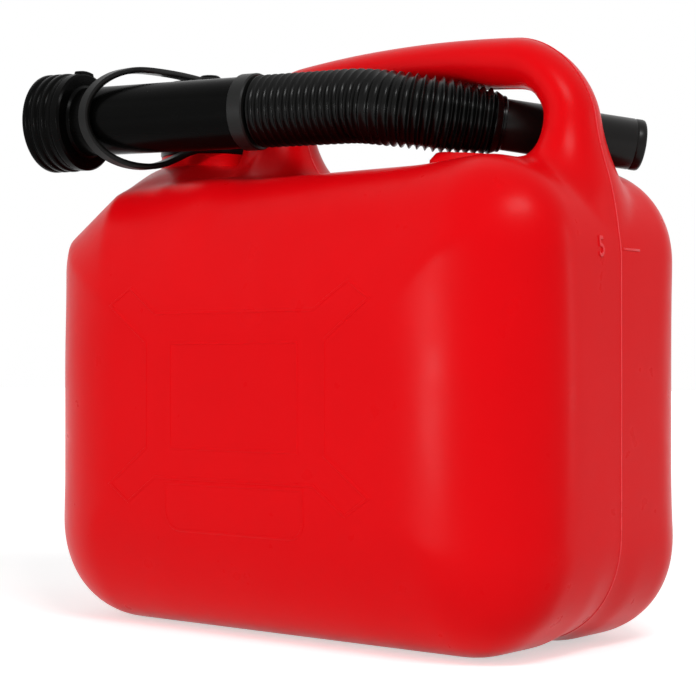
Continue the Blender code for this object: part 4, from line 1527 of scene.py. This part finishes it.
@dataclass
class Studio:
    """The pale floor and backdrop, soft lamps, and the camera at the photograph's angle."""

    turn: float = 0.6837
    distance: float = 0.7646
    side_step: float = 0.002923
    height: float = 0.112618
    focal_pixels: float = 1772.9
    principal: tuple[float, float] = (346.76, 364.367)
    sensor_width: float = 36.0
    fill: float = 0.38
    floor_half: float = 6.0
    floor_drop: float = 0.0002
    floor_glow: float = 0.55
    floor_fade: tuple[float, float] = (0.30, 1.40)
    can_middle: Point = (0.0, 0.0, 0.10)
    lamps: Sequence[Softbox] = (Softbox("key_softbox", (0.60, -0.36, 0.72), 1.1, (0.40, 0.18), 4.9),
                                Softbox("front_softbox", (-0.06, -0.90, 0.02), 1.2, (0.16, 0.30), 4.3),
                                Softbox("left_softbox", (-0.45, -0.80, 0.40), 1.5, (1.0, 1.0), 1.4),
                                Softbox("edge_softbox", (0.80, 0.60, 0.02), 1.1, (0.08, 0.90), 1.7))

    def build(self) -> None:
        """Build the camera, the world, the floor and the lamps."""
        self._camera()
        self._world()
        self._floor()
        for lamp in self.lamps:
            lamp.build(Vector(self.can_middle))
        bpy.context.scene.view_settings.view_transform = "Standard"

    def _camera(self) -> None:
        """Place the camera as the fit to the photograph found it."""
        eye = bpy.data.cameras.new("camera")
        eye.sensor_width = self.sensor_width
        eye.lens = self.focal_pixels * self.sensor_width / PHOTO_SIDE
        eye.shift_x = (PHOTO_SIDE / 2 - self.principal[0]) / PHOTO_SIDE
        eye.shift_y = (self.principal[1] - PHOTO_SIDE / 2) / PHOTO_SIDE
        eye.clip_start = 0.05
        camera = link("camera", eye)
        cos, sin = math.cos(self.turn), math.sin(self.turn)
        camera.location = (self.distance * sin - self.side_step * cos,
                           -self.distance * cos - self.side_step * sin, self.height)
        camera.rotation_euler = (math.pi / 2, 0.0, self.turn)
        bpy.context.scene.camera = camera

    def _world(self) -> None:
        """Light softly from all round, and show white to the camera and to reflections."""
        world = bpy.data.worlds.new("studio")
        bpy.context.scene.world = world
        world.use_nodes = True
        nodes = world.node_tree.nodes
        work = NodeWork(world.node_tree)
        work.feed(nodes["Background"], {"Color": (1, 1, 1, 1), "Strength": self.fill})
        white = work.add("Background", {"Color": (1, 1, 1, 1), "Strength": 1.0})
        mix = work.add("MixShader", {0: self._seen_directly(work), 1: nodes["Background"].outputs[0],
                                     2: white.outputs[0]})
        work.feed(nodes["World Output"], {"Surface": mix.outputs[0]})

    @staticmethod
    def _seen_directly(work: NodeWork) -> bpy.types.NodeSocket:
        """A socket that is 1 for camera, glossy and transmission rays.

        Args:
            work: The tree that it is added to.

        Returns:
            The socket.
        """
        path = work.add("LightPath")
        value = path.outputs["Is Camera Ray"]
        for name in ("Is Glossy Ray", "Is Transmission Ray"):
            value = work.add("Math", {0: value, 1: path.outputs[name]}, operation="MAXIMUM").outputs[0]
        return value

    def _floor(self) -> None:
        """Lay the pale floor under the can."""
        shape = bmesh.new()
        bmesh.ops.create_grid(shape, x_segments=1, y_segments=1, size=self.floor_half)
        mesh = bpy.data.meshes.new("floor")
        shape.to_mesh(mesh)
        shape.free()
        floor = link("floor", mesh)
        pale = bpy.data.materials.new("pale_floor")
        pale.use_nodes = True
        work = NodeWork(pale.node_tree)
        away = work.add("VectorMath", {0: work.add("TexCoord").outputs["Object"]}, operation="LENGTH")
        near, far = self.floor_fade
        paler = work.add("MapRange", {"Value": away.outputs["Value"], "From Min": near, "From Max": far,
                                      "To Min": self.floor_glow, "To Max": 1.0})
        glow = work.add("Math", {0: self._seen_directly(work), 1: paler.outputs["Result"]},
                        operation="MULTIPLY")
        work.feed(pale.node_tree.nodes["Principled BSDF"], {
            "Base Color": (0.90, 0.90, 0.90, 1), "Roughness": 0.9, "Specular IOR Level": 0.1,
            "Emission Color": (1, 1, 1, 1), "Emission Strength": glow.outputs[0]})
        mesh.materials.append(pale)
        floor.location.z = -self.floor_drop


def main() -> None:
    """Build every sub-assembly and the studio."""
    spout = Spout()
    CanBody().build(spout)
    Cap().build()
    spout.build()
    Strap(spout).build()
    Studio().build()


if __name__ == "__main__":
    main()
